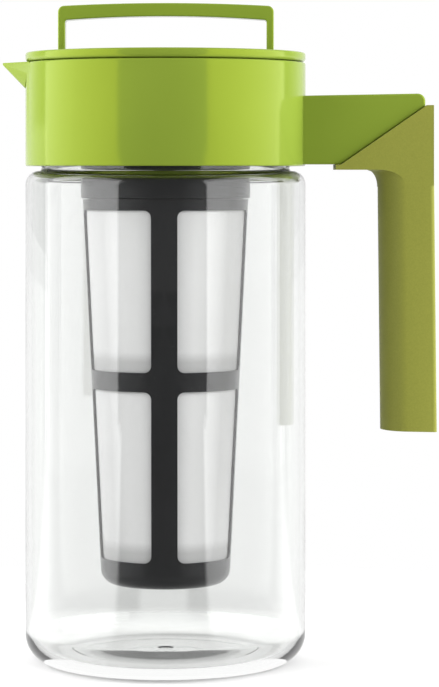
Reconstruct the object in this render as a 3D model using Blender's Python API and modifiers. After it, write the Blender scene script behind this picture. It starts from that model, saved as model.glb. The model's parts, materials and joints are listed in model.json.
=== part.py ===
"""An iced tea maker: a clear jug, a green collar with its spout and handle, a lid with a
folding handle and a seal, and a brewing basket that hangs from the lid.

Metres, +Z up. The origin is the middle of the jug's underside, the spout points along -X and
the handle along +X. The lid handle's pivot runs along X.
"""

import math

import bmesh
import bpy
from mathutils import Matrix, Vector

# Clearances and overruns
FIT = 0.0003
PLAY = 0.0006
OVERRUN = 0.0020
MERGE = 0.00001

# Jug
JUG_RADIUS = 0.0560
JUG_WALL = 0.0025
JUG_FLOOR = 0.0035
JUG_BASE_ROUND = 0.0120
JUG_SHOULDER_ROUND = 0.0055
JUG_SHOULDER_HEIGHT = 0.1963
FLOOR_BOSS_RADIUS = 0.0190
FLOOR_BOSS_TOP_RADIUS = 0.0100
FLOOR_BOSS_RISE = 0.0020
NECK_STEP = 0.0063
NECK_WALL = 0.0022
NECK_LENGTH = 0.0326
SNAP_BEAD_RISE = 0.0010
SNAP_BEAD_WIDTH = 0.0024
SNAP_BEAD_LIFT = 0.0097
POUR_NOTCH_WIDTH = 0.0140
POUR_NOTCH_DEPTH = 0.0050

# Ring seal between the neck and the collar
SEAL_THICKNESS = 0.0019
SEAL_LIFT = 0.0177

# Collar, flush with the jug
COLLAR_LIFT = 0.0018
COLLAR_HEIGHT = 0.0413
COLLAR_EDGE_ROUND = 0.0006
POUR_GROOVE_DEPTH = 0.0029

# Spout, a beak on the collar
SPOUT_LENGTH = 0.0092
SPOUT_TIP_HALF_WIDTH = 0.0009
SPOUT_HALF_WIDTH = 0.0163
SPOUT_DEPTH = 0.0104
SPOUT_FOOT_HALF_WIDTH = 0.0067
SPOUT_LIP = 0.0008
SPOUT_WALL = 0.0018

# Handle: a bracket and a core in one piece with the collar, and a soft sleeve round the core
BRACKET_LIFT = 0.0007
BRACKET_TOP_DROP = 0.0134
BRACKET_TOP_RISE = 0.0009
BRACKET_SETBACK = 0.0033
BRACKET_CORNER_ROUND = 0.0030
SEAM_LOW_SPACE = 0.0116
SEAM_LOW_DROP = 0.0421
SEAM_HIGH_SETBACK = 0.0027
SEAM_HIGH_DROP = 0.0171
GRIP_HALF_WIDTH = 0.0136
GRIP_FLAT_DEPTH = 0.0114
GRIP_NOSE = 0.0104
GRIP_REACH = 0.0505
GRIP_LEAN = 0.0012
GRIP_TOP_DROP = 0.0171
GRIP_BOTTOM_HEIGHT = 0.0928
GRIP_BOTTOM_SLOPE = 0.0004
GRIP_UNDERSIDE_DROP = 0.0427
GRIP_THROAT_GROWTH = 0.0042
GRIP_SCOOP_DROP = 0.0489
GRIP_THROAT_DROP = 0.0495
GRIP_COLUMN_TOP_DROP = 0.0344
SLEEVE_WALL = 0.0040
SLEEVE_PROUD = 0.0016
CORE_TOP_DROP = 0.0159

# Lid
LID_RIM_THICKNESS = 0.0037
LID_EDGE_ROUND = 0.0012
LID_TOP_ROUND = 0.0006
LID_SKIRT_WALL = 0.0029
LID_DISH_DEPTH = 0.0114
LID_FLOOR = 0.0023
HUB_CLEARANCE = 0.0029
HUB_WALL = 0.0022
HUB_DROP = 0.0122
FLANGE_CLEARANCE = 0.0010
FLANGE_THICKNESS = 0.0020

# Lid handle, its pivot pins and the cams on its ends
PIVOT_OFFSET = 0.0105
PIVOT_DROP = 0.0059
BAIL_SIDE_CLEARANCE = 0.0036
BAIL_LEG_THICKNESS = 0.00285
BAIL_WIDTH = 0.0100
BAIL_HEIGHT = 0.0263
BAIL_TOP_ARCH = 0.0011
BAIL_BAR_THICKNESS = 0.0053
BAIL_BAR_END_THICKNESS = 0.0057
BAIL_CORNER_ROUND = 0.0025
BAIL_INNER_ROUND = 0.0010
CAM_RADIUS = 0.0034
CAM_OFFSET = 0.0006
CAM_LENGTH = 0.00675
EYE_PROUD = 0.0002
PIN_RADIUS = 0.00125
PIN_INNER_RECESS = 0.0001
PIN_OUTER_RECESS = 0.0015
PIN_BOSS_THICKNESS = 0.0037
PIN_BOSS_HALF_WIDTH = 0.0035
PIN_BOSS_RISE = 0.0090

# Seal plug, drawn up by the cams to squeeze the lid seal
SEAL_RING_HEIGHT = 0.0060
PLUG_CLEARANCE = 0.0012
PLUG_THICKNESS = 0.0027
CAM_OVERHANG = 0.0004
TOWER_THICKNESS = 0.0040
TOWER_HALF_WIDTH = 0.0050
TOWER_TOP_DROP = 0.0014
SPIGOT_WALL = 0.0022
SPIGOT_LENGTH = 0.0097
LUG_HALF_WIDTH = 0.0037
LUG_THICKNESS = 0.0023
LUG_LIFT = 0.0025
LUG_COUNT = 3

# Brewing basket: a top ring on the lugs, a tapered frame and its mesh panels
RING_RADIUS = 0.0339
RING_WALL = 0.0023
RING_HEIGHT = 0.0201
LIP_THICKNESS = 0.0020
LIP_DEPTH = 0.0024
NOTCH_CLEARANCE = 0.0015
LOCK_TURN = 45.0
FRAME_STEP = 0.0008
FRAME_TAPER = 0.0072
FRAME_FLOOR_GAP = 0.0280
FRAME_BOTTOM_ROUND = 0.0060
FRAME_WALL = 0.0027
FRAME_FLOOR = 0.0025
FRAME_NECK_LENGTH = 0.0078
FRAME_NECK_WALL = 0.0024
FRAME_NECK_TAPER = 0.0022
RIB_HALF_WIDTH = 0.0051
WINDOW_ROUND = 0.0028
TOP_BAND = 0.0044
MIDDLE_BAR = 0.0076
BOTTOM_BAND = 0.0108
UPPER_WINDOW_SHARE = 0.4851
MESH_THICKNESS = 0.0005
MESH_SEAT = 0.0012

# Smoothness of the round pieces
RING_STEPS = 48
SMALL_STEPS = 24
ROUND_STEPS = 6
EDGE_STEPS = 2
ARCH_STEPS = 8
SHARP_ANGLE = 40.0

# Places that follow from the sizes above
NECK_RADIUS = JUG_RADIUS - NECK_STEP
NECK_INNER = NECK_RADIUS - NECK_WALL
NECK_TOP = JUG_SHOULDER_HEIGHT + NECK_LENGTH
BORE_RADIUS = NECK_RADIUS + PLAY
SEAL_CENTRE_RADIUS = NECK_RADIUS + FIT + SEAL_THICKNESS / 2
SEAL_HEIGHT = JUG_SHOULDER_HEIGHT + SEAL_LIFT
SNAP_BEAD_HEIGHT = JUG_SHOULDER_HEIGHT + SNAP_BEAD_LIFT
COLLAR_RADIUS = JUG_RADIUS
COLLAR_BOTTOM = JUG_SHOULDER_HEIGHT + COLLAR_LIFT
COLLAR_TOP = COLLAR_BOTTOM + COLLAR_HEIGHT
SPOUT_TIP_REACH = COLLAR_RADIUS + SPOUT_LENGTH
GRIP_OUTER_REACH = COLLAR_RADIUS + GRIP_REACH
GRIP_FLAT_START = GRIP_OUTER_REACH - GRIP_FLAT_DEPTH
SEAM_LOW_REACH = COLLAR_RADIUS + SEAM_LOW_SPACE
SEAM_HIGH_REACH = GRIP_OUTER_REACH - SEAM_HIGH_SETBACK
BRACKET_END = GRIP_OUTER_REACH - BRACKET_SETBACK
BRACKET_HALF_WIDTH = GRIP_HALF_WIDTH - SLEEVE_PROUD
LID_RIM_BOTTOM = COLLAR_TOP + FIT
LID_TOP = LID_RIM_BOTTOM + LID_RIM_THICKNESS
DISH_TOP = LID_TOP - LID_DISH_DEPTH
DISH_BOTTOM = DISH_TOP - LID_FLOOR
SKIRT_RADIUS = BORE_RADIUS - PLAY
LID_DISH_RADIUS = SKIRT_RADIUS - LID_SKIRT_WALL
HUB_RADIUS = NECK_INNER - HUB_CLEARANCE
HUB_INNER = HUB_RADIUS - HUB_WALL
FLANGE_RADIUS = NECK_INNER - FLANGE_CLEARANCE
FLANGE_BOTTOM = DISH_BOTTOM - HUB_DROP
PIVOT_HEIGHT = LID_TOP - PIVOT_DROP
BAIL_HALF_SPAN = LID_DISH_RADIUS - BAIL_SIDE_CLEARANCE
BAIL_INNER_SPAN = BAIL_HALF_SPAN - BAIL_LEG_THICKNESS
CAM_INNER_REACH = BAIL_INNER_SPAN - CAM_LENGTH
PIN_BOSS_OUTER = CAM_INNER_REACH - FIT
PIN_BOSS_INNER = PIN_BOSS_OUTER - PIN_BOSS_THICKNESS
PIN_INNER_REACH = PIN_BOSS_INNER + PIN_INNER_RECESS
PIN_OUTER_REACH = SKIRT_RADIUS - PIN_OUTER_RECESS
TOWER_INNER_REACH = CAM_INNER_REACH + CAM_OVERHANG
SEAL_RING_TOP = FLANGE_BOTTOM - FIT
SEAL_RING_BOTTOM = SEAL_RING_TOP - SEAL_RING_HEIGHT
SEAL_RING_RADIUS = NECK_INNER - PLAY
PLUG_TOP = SEAL_RING_BOTTOM - FIT
PLUG_BOTTOM = PLUG_TOP - PLUG_THICKNESS
PLUG_RADIUS = NECK_INNER - PLUG_CLEARANCE
RING_INNER = RING_RADIUS - RING_WALL
LIP_OPENING_RADIUS = RING_INNER - LIP_DEPTH
SPIGOT_RADIUS = LIP_OPENING_RADIUS - PLAY
SPIGOT_INNER = SPIGOT_RADIUS - SPIGOT_WALL
SPIGOT_BOTTOM = PLUG_BOTTOM - SPIGOT_LENGTH
LUG_REACH = RING_INNER - PLAY
LUG_BOTTOM = SPIGOT_BOTTOM + LUG_LIFT
LUG_TOP = LUG_BOTTOM + LUG_THICKNESS
LIP_BOTTOM = LUG_TOP + FIT
RING_TOP = LIP_BOTTOM + LIP_THICKNESS
RING_BOTTOM = RING_TOP - RING_HEIGHT
NOTCH_HALF_WIDTH = LUG_HALF_WIDTH + NOTCH_CLEARANCE
FRAME_TOP_RADIUS = RING_RADIUS - FRAME_STEP
FRAME_LOW_RADIUS = FRAME_TOP_RADIUS - FRAME_TAPER
FRAME_BOTTOM_HEIGHT = JUG_FLOOR + FRAME_FLOOR_GAP
FRAME_SHOULDER = RING_BOTTOM - FIT
FRAME_NECK_RADIUS = RING_INNER - FIT
FRAME_NECK_TOP = FRAME_SHOULDER + FRAME_NECK_LENGTH
LOWER_WINDOW_BOTTOM = FRAME_BOTTOM_HEIGHT + BOTTOM_BAND
UPPER_WINDOW_TOP = FRAME_SHOULDER - TOP_BAND
WINDOW_HEIGHTS = UPPER_WINDOW_TOP - LOWER_WINDOW_BOTTOM - MIDDLE_BAR
UPPER_WINDOW_BOTTOM = UPPER_WINDOW_TOP - WINDOW_HEIGHTS * UPPER_WINDOW_SHARE
LOWER_WINDOW_TOP = UPPER_WINDOW_BOTTOM - MIDDLE_BAR
CAM_TRAVEL_SIDE = CAM_OFFSET * (math.sqrt(2) - 1)


def clear_scene():
    for old in list(bpy.context.scene.objects):
        bpy.data.objects.remove(old, do_unlink=True)


def new_collection(name):
    collection = bpy.data.collections.new(name)
    bpy.context.scene.collection.children.link(collection)
    return collection


def plastic(name, colour, roughness, transmission=0):
    """A Principled material: colour is linear red, green and blue."""
    material = bpy.data.materials.new(name)
    material.use_nodes = True
    shader = material.node_tree.nodes["Principled BSDF"]
    shader.inputs["Base Color"].default_value = (*colour, 1)
    shader.inputs["Roughness"].default_value = roughness
    shader.inputs["Metallic"].default_value = 0
    shader.inputs["Transmission Weight"].default_value = transmission
    return material


def steel(name, colour, roughness):
    material = plastic(name, colour, roughness)
    shader = material.node_tree.nodes["Principled BSDF"]
    shader.inputs["Metallic"].default_value = 1
    return material


def add_piece(name, mesh, material):
    """An object for a sub-part, in the object's collection."""
    piece = bpy.data.objects.new(name, mesh)
    mesh.materials.append(material)
    PARTS.objects.link(piece)
    return piece


def add_tool(name, mesh):
    """An object that only shapes others: it is left out of the render."""
    tool = bpy.data.objects.new(name, mesh)
    tool.display_type = "WIRE"
    tool.hide_render = True
    TOOLS.objects.link(tool)
    return tool


def shape(target, tool, operation):
    """Joins the tool to the target, cuts it away, or keeps only what they share."""
    modifier = target.modifiers.new(tool.name, "BOOLEAN")
    modifier.operation = operation
    modifier.solver = "EXACT"
    modifier.object = tool


def place(piece, location):
    piece.location = location
    return piece


def arc(centre, radius, start, end, steps):
    """Points along an arc, from the start angle to the end angle in degrees."""
    points = []
    for step in range(steps + 1):
        angle = math.radians(start + (end - start) * step / steps)
        points.append((centre[0] + radius * math.cos(angle), centre[1] + radius * math.sin(angle)))
    return points


def turned(name, profile, material=None, closed=False):
    """A solid of revolution: the profile's points are radius and height, down the outer side.

    With no material it is a tool for shaping others.
    """
    mesh = bpy.data.meshes.new(name)
    count = len(profile)
    edges = [(index, index + 1) for index in range(count - 1)]
    if closed:
        edges.append((count - 1, 0))
    mesh.from_pydata([(radius, 0, height) for radius, height in profile], edges, [])
    piece = add_piece(name, mesh, material) if material else add_tool(name, mesh)
    screw = piece.modifiers.new("Turn", "SCREW")
    screw.steps = RING_STEPS
    screw.render_steps = RING_STEPS
    screw.use_merge_vertices = True
    screw.merge_threshold = MERGE
    return piece


def mesh_from(bm, name):
    bmesh.ops.recalc_face_normals(bm, faces=bm.faces)
    mesh = bpy.data.meshes.new(name)
    bm.to_mesh(mesh)
    bm.free()
    return mesh


def box_mesh(name, low, high):
    """A box between two opposite corners."""
    low = Vector(low)
    high = Vector(high)
    fill = Matrix.Translation((low + high) / 2) @ Matrix.Diagonal((*(high - low), 1))
    bm = bmesh.new()
    bmesh.ops.create_cube(bm, size=1, matrix=fill)
    return mesh_from(bm, name)


def rod_mesh(name, radius, start, end, centre=(0, 0), steps=SMALL_STEPS):
    """A round rod along X, from start to end, with its centre at a given Y and Z."""
    bm = bmesh.new()
    middle = Vector(((start + end) / 2, centre[0], centre[1]))
    lie = Matrix.Translation(middle) @ Matrix.Rotation(math.radians(90), 4, "Y")
    bmesh.ops.create_cone(
        bm,
        cap_ends=True,
        segments=steps,
        radius1=radius,
        radius2=radius,
        depth=abs(end - start),
        matrix=lie,
    )
    return mesh_from(bm, name)


def hull_mesh(name, points):
    """The tightest solid without hollows round a set of points."""
    bm = bmesh.new()
    for point in points:
        bm.verts.new(point)
    found = bmesh.ops.convex_hull(bm, input=bm.verts)
    inside = {item for item in found["geom_interior"] if isinstance(item, bmesh.types.BMVert)}
    bmesh.ops.delete(bm, geom=list(inside), context="VERTS")
    return mesh_from(bm, name)


def side_slab_mesh(name, outline, half_width):
    """A flat outline in X and Z, made as thick as twice the half width along Y."""
    curve = bpy.data.curves.new(name, "CURVE")
    curve.dimensions = "2D"
    curve.fill_mode = "BOTH"
    curve.extrude = half_width
    spline = curve.splines.new("POLY")
    spline.points.add(len(outline) - 1)
    for point, (x, z) in zip(spline.points, outline):
        point.co = (x, z, 0, 1)
    spline.use_cyclic_u = True
    holder = bpy.data.objects.new(name, curve)
    bpy.context.scene.collection.objects.link(holder)
    depsgraph = bpy.context.evaluated_depsgraph_get()
    mesh = bpy.data.meshes.new_from_object(holder.evaluated_get(depsgraph))
    bpy.data.objects.remove(holder, do_unlink=True)
    bm = bmesh.new()
    bm.from_mesh(mesh)
    bmesh.ops.remove_doubles(bm, verts=bm.verts, dist=MERGE)
    bmesh.ops.rotate(bm, verts=bm.verts, matrix=Matrix.Rotation(math.radians(90), 3, "X"))
    bm.to_mesh(mesh)
    bm.free()
    return mesh


def settle(piece):
    """Keeps the finished mesh, shaded smooth with its real edges sharp."""
    depsgraph = bpy.context.evaluated_depsgraph_get()
    mesh = bpy.data.meshes.new_from_object(piece.evaluated_get(depsgraph))
    piece.modifiers.clear()
    piece.data = mesh
    mesh.shade_smooth()
    mesh.set_sharp_from_angle(angle=math.radians(SHARP_ANGLE))


def seam_height(reach, gap=0):
    """Height of the slanted seam between bracket and sleeve, or of a line above it by a gap."""
    run = SEAM_HIGH_REACH - SEAM_LOW_REACH
    rise = SEAM_LOW_DROP - SEAM_HIGH_DROP
    steepness = rise / run
    lift = gap * math.hypot(run, rise) / run
    return COLLAR_TOP - SEAM_LOW_DROP + (reach - SEAM_LOW_REACH) * steepness + lift


def seam_reach(height, gap=0):
    """The place along the seam where it has a given height."""
    run = SEAM_HIGH_REACH - SEAM_LOW_REACH
    rise = SEAM_LOW_DROP - SEAM_HIGH_DROP
    return SEAM_LOW_REACH + (height - seam_height(SEAM_LOW_REACH, gap)) * run / rise


def grip_outline(inset, lean, nose_growth=0):
    """Plan of the grip: flat outside and flat sides, and a half ellipse towards the jug."""
    half_width = GRIP_HALF_WIDTH - inset
    outer = GRIP_OUTER_REACH - inset + lean
    nose = GRIP_NOSE + nose_growth - inset
    outline = [(outer, -half_width), (outer, half_width)]
    for x, y in arc((0, 0), 1, 90, 270, ROUND_STEPS * 2):
        outline.append((GRIP_FLAT_START + lean + nose * x, half_width * y))
    return outline


def grip_bottom(reach, lift):
    """Height of the grip's slightly sloping underside, raised by a lift."""
    share = (GRIP_OUTER_REACH - reach) / (GRIP_OUTER_REACH - GRIP_FLAT_START + GRIP_NOSE)
    return GRIP_BOTTOM_HEIGHT + GRIP_BOTTOM_SLOPE * share + lift


def grip_column(inset, lift, top):
    """Corner points of the leaning column inside which the hand closes."""
    low = [(x, y, grip_bottom(x, lift)) for x, y in grip_outline(inset, GRIP_LEAN)]
    high = [(x, y, top) for x, y in grip_outline(inset, 0)]
    return low + high


def turned_about_z(points, degrees):
    spin = Matrix.Rotation(math.radians(degrees), 3, "Z")
    return [spin @ Vector(point) for point in points]


def box_corners(low, high):
    return [(x, y, z) for x in (low[0], high[0]) for y in (low[1], high[1]) for z in (low[2], high[2])]


def jug_profile():
    """From the middle of the inner floor, up inside, over the neck and down the outside."""
    inner = JUG_RADIUS - JUG_WALL
    base_inner_round = JUG_BASE_ROUND - JUG_WALL
    shoulder = (JUG_RADIUS - JUG_SHOULDER_ROUND, JUG_SHOULDER_HEIGHT - JUG_SHOULDER_ROUND)
    base = (JUG_RADIUS - JUG_BASE_ROUND, JUG_BASE_ROUND)
    boss_top = JUG_FLOOR + FLOOR_BOSS_RISE
    points = [(0, boss_top), (FLOOR_BOSS_TOP_RADIUS, boss_top), (FLOOR_BOSS_RADIUS, JUG_FLOOR)]
    base_inner = (inner - base_inner_round, JUG_FLOOR + base_inner_round)
    points += arc(base_inner, base_inner_round, -90, 0, ROUND_STEPS)
    points += arc(shoulder, JUG_SHOULDER_ROUND - JUG_WALL, 0, 90, ROUND_STEPS // 2)
    points += [(NECK_INNER, JUG_SHOULDER_HEIGHT - JUG_WALL), (NECK_INNER, NECK_TOP), (NECK_RADIUS, NECK_TOP)]
    half_bead = SNAP_BEAD_WIDTH / 2
    points += [
        (NECK_RADIUS, SNAP_BEAD_HEIGHT + half_bead),
        (NECK_RADIUS + SNAP_BEAD_RISE, SNAP_BEAD_HEIGHT),
        (NECK_RADIUS, SNAP_BEAD_HEIGHT - half_bead),
        (NECK_RADIUS, JUG_SHOULDER_HEIGHT),
    ]
    points += arc(shoulder, JUG_SHOULDER_ROUND, 90, 0, ROUND_STEPS // 2 + 1)
    points += arc(base, JUG_BASE_ROUND, 0, -90, ROUND_STEPS + 1)
    points.append((0, 0))
    return points


def make_jug(material):
    jug = turned("jug_body", jug_profile(), material)
    half = POUR_NOTCH_WIDTH / 2
    low = (-NECK_RADIUS - OVERRUN, -half, NECK_TOP - POUR_NOTCH_DEPTH)
    high = (-NECK_INNER + OVERRUN, half, NECK_TOP + OVERRUN)
    notch = add_tool("pour_notch", box_mesh("pour_notch", low, high))
    shape(jug, notch, "DIFFERENCE")
    return jug


def make_neck_seal(material):
    profile = arc((SEAL_CENTRE_RADIUS, SEAL_HEIGHT), SEAL_THICKNESS / 2, 90, -270, ROUND_STEPS + 2)
    return turned("neck_seal", profile[:-1], material, closed=True)


def collar_bore_profile():
    """The bore with the bead's groove and the seal's groove in its wall."""
    half_bead = SNAP_BEAD_WIDTH / 2 + FIT
    bead_groove = NECK_RADIUS + SNAP_BEAD_RISE + FIT
    half_seal = SEAL_THICKNESS / 2 + FIT
    seal_groove = SEAL_CENTRE_RADIUS + half_seal
    return [
        (0, COLLAR_TOP + OVERRUN),
        (BORE_RADIUS, COLLAR_TOP + OVERRUN),
        (BORE_RADIUS, SEAL_HEIGHT + half_seal),
        (seal_groove, SEAL_HEIGHT + half_seal),
        (seal_groove, SEAL_HEIGHT - half_seal),
        (BORE_RADIUS, SEAL_HEIGHT - half_seal),
        (BORE_RADIUS, SNAP_BEAD_HEIGHT + half_bead),
        (bead_groove, SNAP_BEAD_HEIGHT + half_bead),
        (bead_groove, SNAP_BEAD_HEIGHT - half_bead),
        (BORE_RADIUS, SNAP_BEAD_HEIGHT - half_bead),
        (BORE_RADIUS, COLLAR_BOTTOM - OVERRUN),
        (0, COLLAR_BOTTOM - OVERRUN),
    ]


def spout_points(inset, top):
    """Corners of the beak, or of its trough where an inset is given."""
    half_width = SPOUT_HALF_WIDTH - inset
    foot_half_width = SPOUT_FOOT_HALF_WIDTH - inset
    root = math.sqrt(COLLAR_RADIUS**2 - SPOUT_HALF_WIDTH**2)
    slant = math.atan2(SPOUT_HALF_WIDTH, SPOUT_TIP_REACH - root)
    tip = SPOUT_TIP_REACH - inset / math.sin(slant)
    foot = COLLAR_TOP - SPOUT_DEPTH + inset
    points = []
    for side in (-1, 1):
        points.append((-tip, side * SPOUT_TIP_HALF_WIDTH, top))
        points.append((-tip, side * SPOUT_TIP_HALF_WIDTH, COLLAR_TOP - SPOUT_LIP))
        points.append((-root, side * half_width, top))
        points.append((-BORE_RADIUS, side * half_width, top))
        points.append((-COLLAR_RADIUS + inset, side * foot_half_width, foot + SPOUT_LIP))
        points.append((-BORE_RADIUS, side * foot_half_width, foot + SPOUT_LIP))
    points.append((-COLLAR_RADIUS + inset, 0, foot))
    points.append((-BORE_RADIUS, 0, foot))
    return points


def bracket_outline():
    """Side view of the bracket between the collar and the seam."""
    bottom = COLLAR_BOTTOM + BRACKET_LIFT
    top_start = COLLAR_TOP - BRACKET_TOP_DROP
    top_end = top_start + BRACKET_TOP_RISE
    corner = (BRACKET_END - BRACKET_CORNER_ROUND, top_end - BRACKET_CORNER_ROUND)
    outline = [
        (BORE_RADIUS, bottom),
        (seam_reach(bottom, FIT), bottom),
        (BRACKET_END, seam_height(BRACKET_END, FIT)),
    ]
    outline += arc(corner, BRACKET_CORNER_ROUND, 0, 90, ROUND_STEPS // 2)
    outline.append((BORE_RADIUS, top_start))
    return outline


def make_collar(material):
    """Ring, spout, bracket and handle core: one moulding."""
    edge = COLLAR_RADIUS - COLLAR_EDGE_ROUND
    profile = [(0, COLLAR_TOP)]
    profile += arc((edge, COLLAR_TOP - COLLAR_EDGE_ROUND), COLLAR_EDGE_ROUND, 90, 0, EDGE_STEPS)
    profile += arc((edge, COLLAR_BOTTOM + COLLAR_EDGE_ROUND), COLLAR_EDGE_ROUND, 0, -90, EDGE_STEPS)
    profile.append((0, COLLAR_BOTTOM))
    collar = turned("collar", profile, material)
    beak = add_tool("beak", hull_mesh("beak", spout_points(0, COLLAR_TOP)))
    bracket = add_tool("bracket", side_slab_mesh("bracket", bracket_outline(), BRACKET_HALF_WIDTH))
    core_top = COLLAR_TOP - CORE_TOP_DROP
    core = add_tool("core", hull_mesh("core", grip_column(SLEEVE_WALL, SLEEVE_WALL, core_top)))
    for solid in (beak, bracket, core):
        shape(collar, solid, "UNION")
    shape(collar, turned("bore", collar_bore_profile()), "DIFFERENCE")
    half = POUR_NOTCH_WIDTH / 2
    low = (-BORE_RADIUS - POUR_GROOVE_DEPTH, -half, NECK_TOP - POUR_NOTCH_DEPTH)
    high = (-BORE_RADIUS + OVERRUN, half, COLLAR_TOP + OVERRUN)
    shape(collar, add_tool("pour_groove", box_mesh("pour_groove", low, high)), "DIFFERENCE")
    trough = hull_mesh("trough", spout_points(SPOUT_WALL, COLLAR_TOP + OVERRUN))
    shape(collar, add_tool("trough", trough), "DIFFERENCE")
    return collar


def make_sleeve(material):
    """Soft sleeve: a block under the seam, a throat and the column, hollow for the core."""
    scoop = COLLAR_TOP - GRIP_SCOOP_DROP
    underside = COLLAR_TOP - GRIP_UNDERSIDE_DROP
    outline = [(SEAM_LOW_REACH, underside)]
    for x, z in arc((0, 0), 1, 90, 0, ROUND_STEPS):
        reach = GRIP_FLAT_START - GRIP_NOSE * (1 - x)
        outline.append((reach, scoop + (underside - scoop) * z))
    tip_top = COLLAR_BOTTOM + BRACKET_LIFT - FIT
    outline += [
        (GRIP_OUTER_REACH, scoop),
        (GRIP_OUTER_REACH, COLLAR_TOP - GRIP_TOP_DROP),
        (SEAM_HIGH_REACH, COLLAR_TOP - SEAM_HIGH_DROP),
        (seam_reach(tip_top), tip_top),
        (SEAM_LOW_REACH, tip_top),
    ]
    sleeve = add_piece("grip_sleeve", side_slab_mesh("grip_sleeve", outline, GRIP_HALF_WIDTH), material)
    throat_low = COLLAR_TOP - GRIP_THROAT_DROP
    throat = [(x, y, throat_low) for x, y in grip_outline(0, 0)]
    throat += [(x, y, underside + FIT) for x, y in grip_outline(0, 0, GRIP_THROAT_GROWTH)]
    column_top = COLLAR_TOP - GRIP_COLUMN_TOP_DROP
    column = hull_mesh("column", grip_column(0, 0, column_top))
    shape(sleeve, add_tool("throat", hull_mesh("throat", throat)), "UNION")
    shape(sleeve, add_tool("column", column), "UNION")
    hollow = hull_mesh("hollow", grip_column(SLEEVE_WALL - FIT, SLEEVE_WALL - FIT, COLLAR_TOP))
    shape(sleeve, add_tool("hollow", hollow), "DIFFERENCE")
    return sleeve


def lid_profile():
    """From the dish floor, over the rim, down the skirt and round the hub's flange."""
    rim = COLLAR_RADIUS - LID_EDGE_ROUND
    crown = COLLAR_RADIUS - LID_TOP_ROUND
    points = [(0, DISH_TOP), (LID_DISH_RADIUS, DISH_TOP), (LID_DISH_RADIUS, LID_TOP)]
    points += arc((crown, LID_TOP - LID_TOP_ROUND), LID_TOP_ROUND, 90, 0, EDGE_STEPS)
    points += arc((rim, LID_RIM_BOTTOM + LID_EDGE_ROUND), LID_EDGE_ROUND, 0, -90, EDGE_STEPS)
    points += [
        (SKIRT_RADIUS, LID_RIM_BOTTOM),
        (SKIRT_RADIUS, DISH_BOTTOM),
        (HUB_RADIUS, DISH_BOTTOM),
        (HUB_RADIUS, FLANGE_BOTTOM + FLANGE_THICKNESS),
        (FLANGE_RADIUS, FLANGE_BOTTOM + FLANGE_THICKNESS),
        (FLANGE_RADIUS, FLANGE_BOTTOM),
        (HUB_INNER, FLANGE_BOTTOM),
        (HUB_INNER, DISH_BOTTOM),
        (0, DISH_BOTTOM),
    ]
    return points


def tower_middle():
    """Middle of a tower along Y: that of the cam's path."""
    return PIVOT_OFFSET + CAM_OFFSET + CAM_TRAVEL_SIDE / 2


def mirrored(low, high, side):
    """The two corners of a box, or of its mirror image across the plane X = 0."""
    if side > 0:
        return low, high
    return (-high[0], low[1], low[2]), (-low[0], high[1], high[2])


def make_lid(material):
    lid = turned("lid_cover", lid_profile(), material)
    boss_low = (PIN_BOSS_INNER, PIVOT_OFFSET - PIN_BOSS_HALF_WIDTH, DISH_BOTTOM)
    boss_high = (PIN_BOSS_OUTER, PIVOT_OFFSET + PIN_BOSS_HALF_WIDTH, DISH_TOP + PIN_BOSS_RISE)
    middle = tower_middle()
    slot_low = (TOWER_INNER_REACH - PLAY, middle - TOWER_HALF_WIDTH - PLAY, DISH_BOTTOM - OVERRUN)
    slot_high = (
        TOWER_INNER_REACH + TOWER_THICKNESS + PLAY,
        middle + TOWER_HALF_WIDTH + PLAY,
        DISH_TOP + OVERRUN,
    )
    for side in (-1, 1):
        name = "left" if side < 0 else "right"
        low, high = mirrored(boss_low, boss_high, side)
        shape(lid, add_tool(f"pin_boss_{name}", box_mesh(f"pin_boss_{name}", low, high)), "UNION")
        low, high = mirrored(slot_low, slot_high, side)
        shape(lid, add_tool(f"floor_slot_{name}", box_mesh(f"floor_slot_{name}", low, high)), "DIFFERENCE")
        start = side * (PIN_INNER_REACH - OVERRUN)
        end = side * (SKIRT_RADIUS + OVERRUN)
        hole = rod_mesh(f"pin_hole_{name}", PIN_RADIUS + FIT, start, end, (PIVOT_OFFSET, PIVOT_HEIGHT))
        shape(lid, add_tool(f"pin_hole_{name}", hole), "DIFFERENCE")
    return lid


def make_pin(name, side, material):
    start = side * PIN_INNER_REACH
    end = side * PIN_OUTER_REACH
    return add_piece(name, rod_mesh(name, PIN_RADIUS, start, end, (PIVOT_OFFSET, PIVOT_HEIGHT)), material)


def make_seal_ring(material):
    """Soft ring between the hub's flange and the plug."""
    profile = [
        (SEAL_RING_RADIUS, SEAL_RING_TOP),
        (SEAL_RING_RADIUS, SEAL_RING_BOTTOM),
        (HUB_INNER, SEAL_RING_BOTTOM),
        (HUB_INNER, SEAL_RING_TOP),
    ]
    return turned("lid_gasket", profile, material, closed=True)


def arch(half_span, end_height, rise, steps):
    """Points of a shallow arch from +X to -X."""
    points = []
    for step in range(steps + 1):
        share = 1 - 2 * step / steps
        points.append((half_span * share, end_height + rise * (1 - share**2)))
    return points


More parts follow.
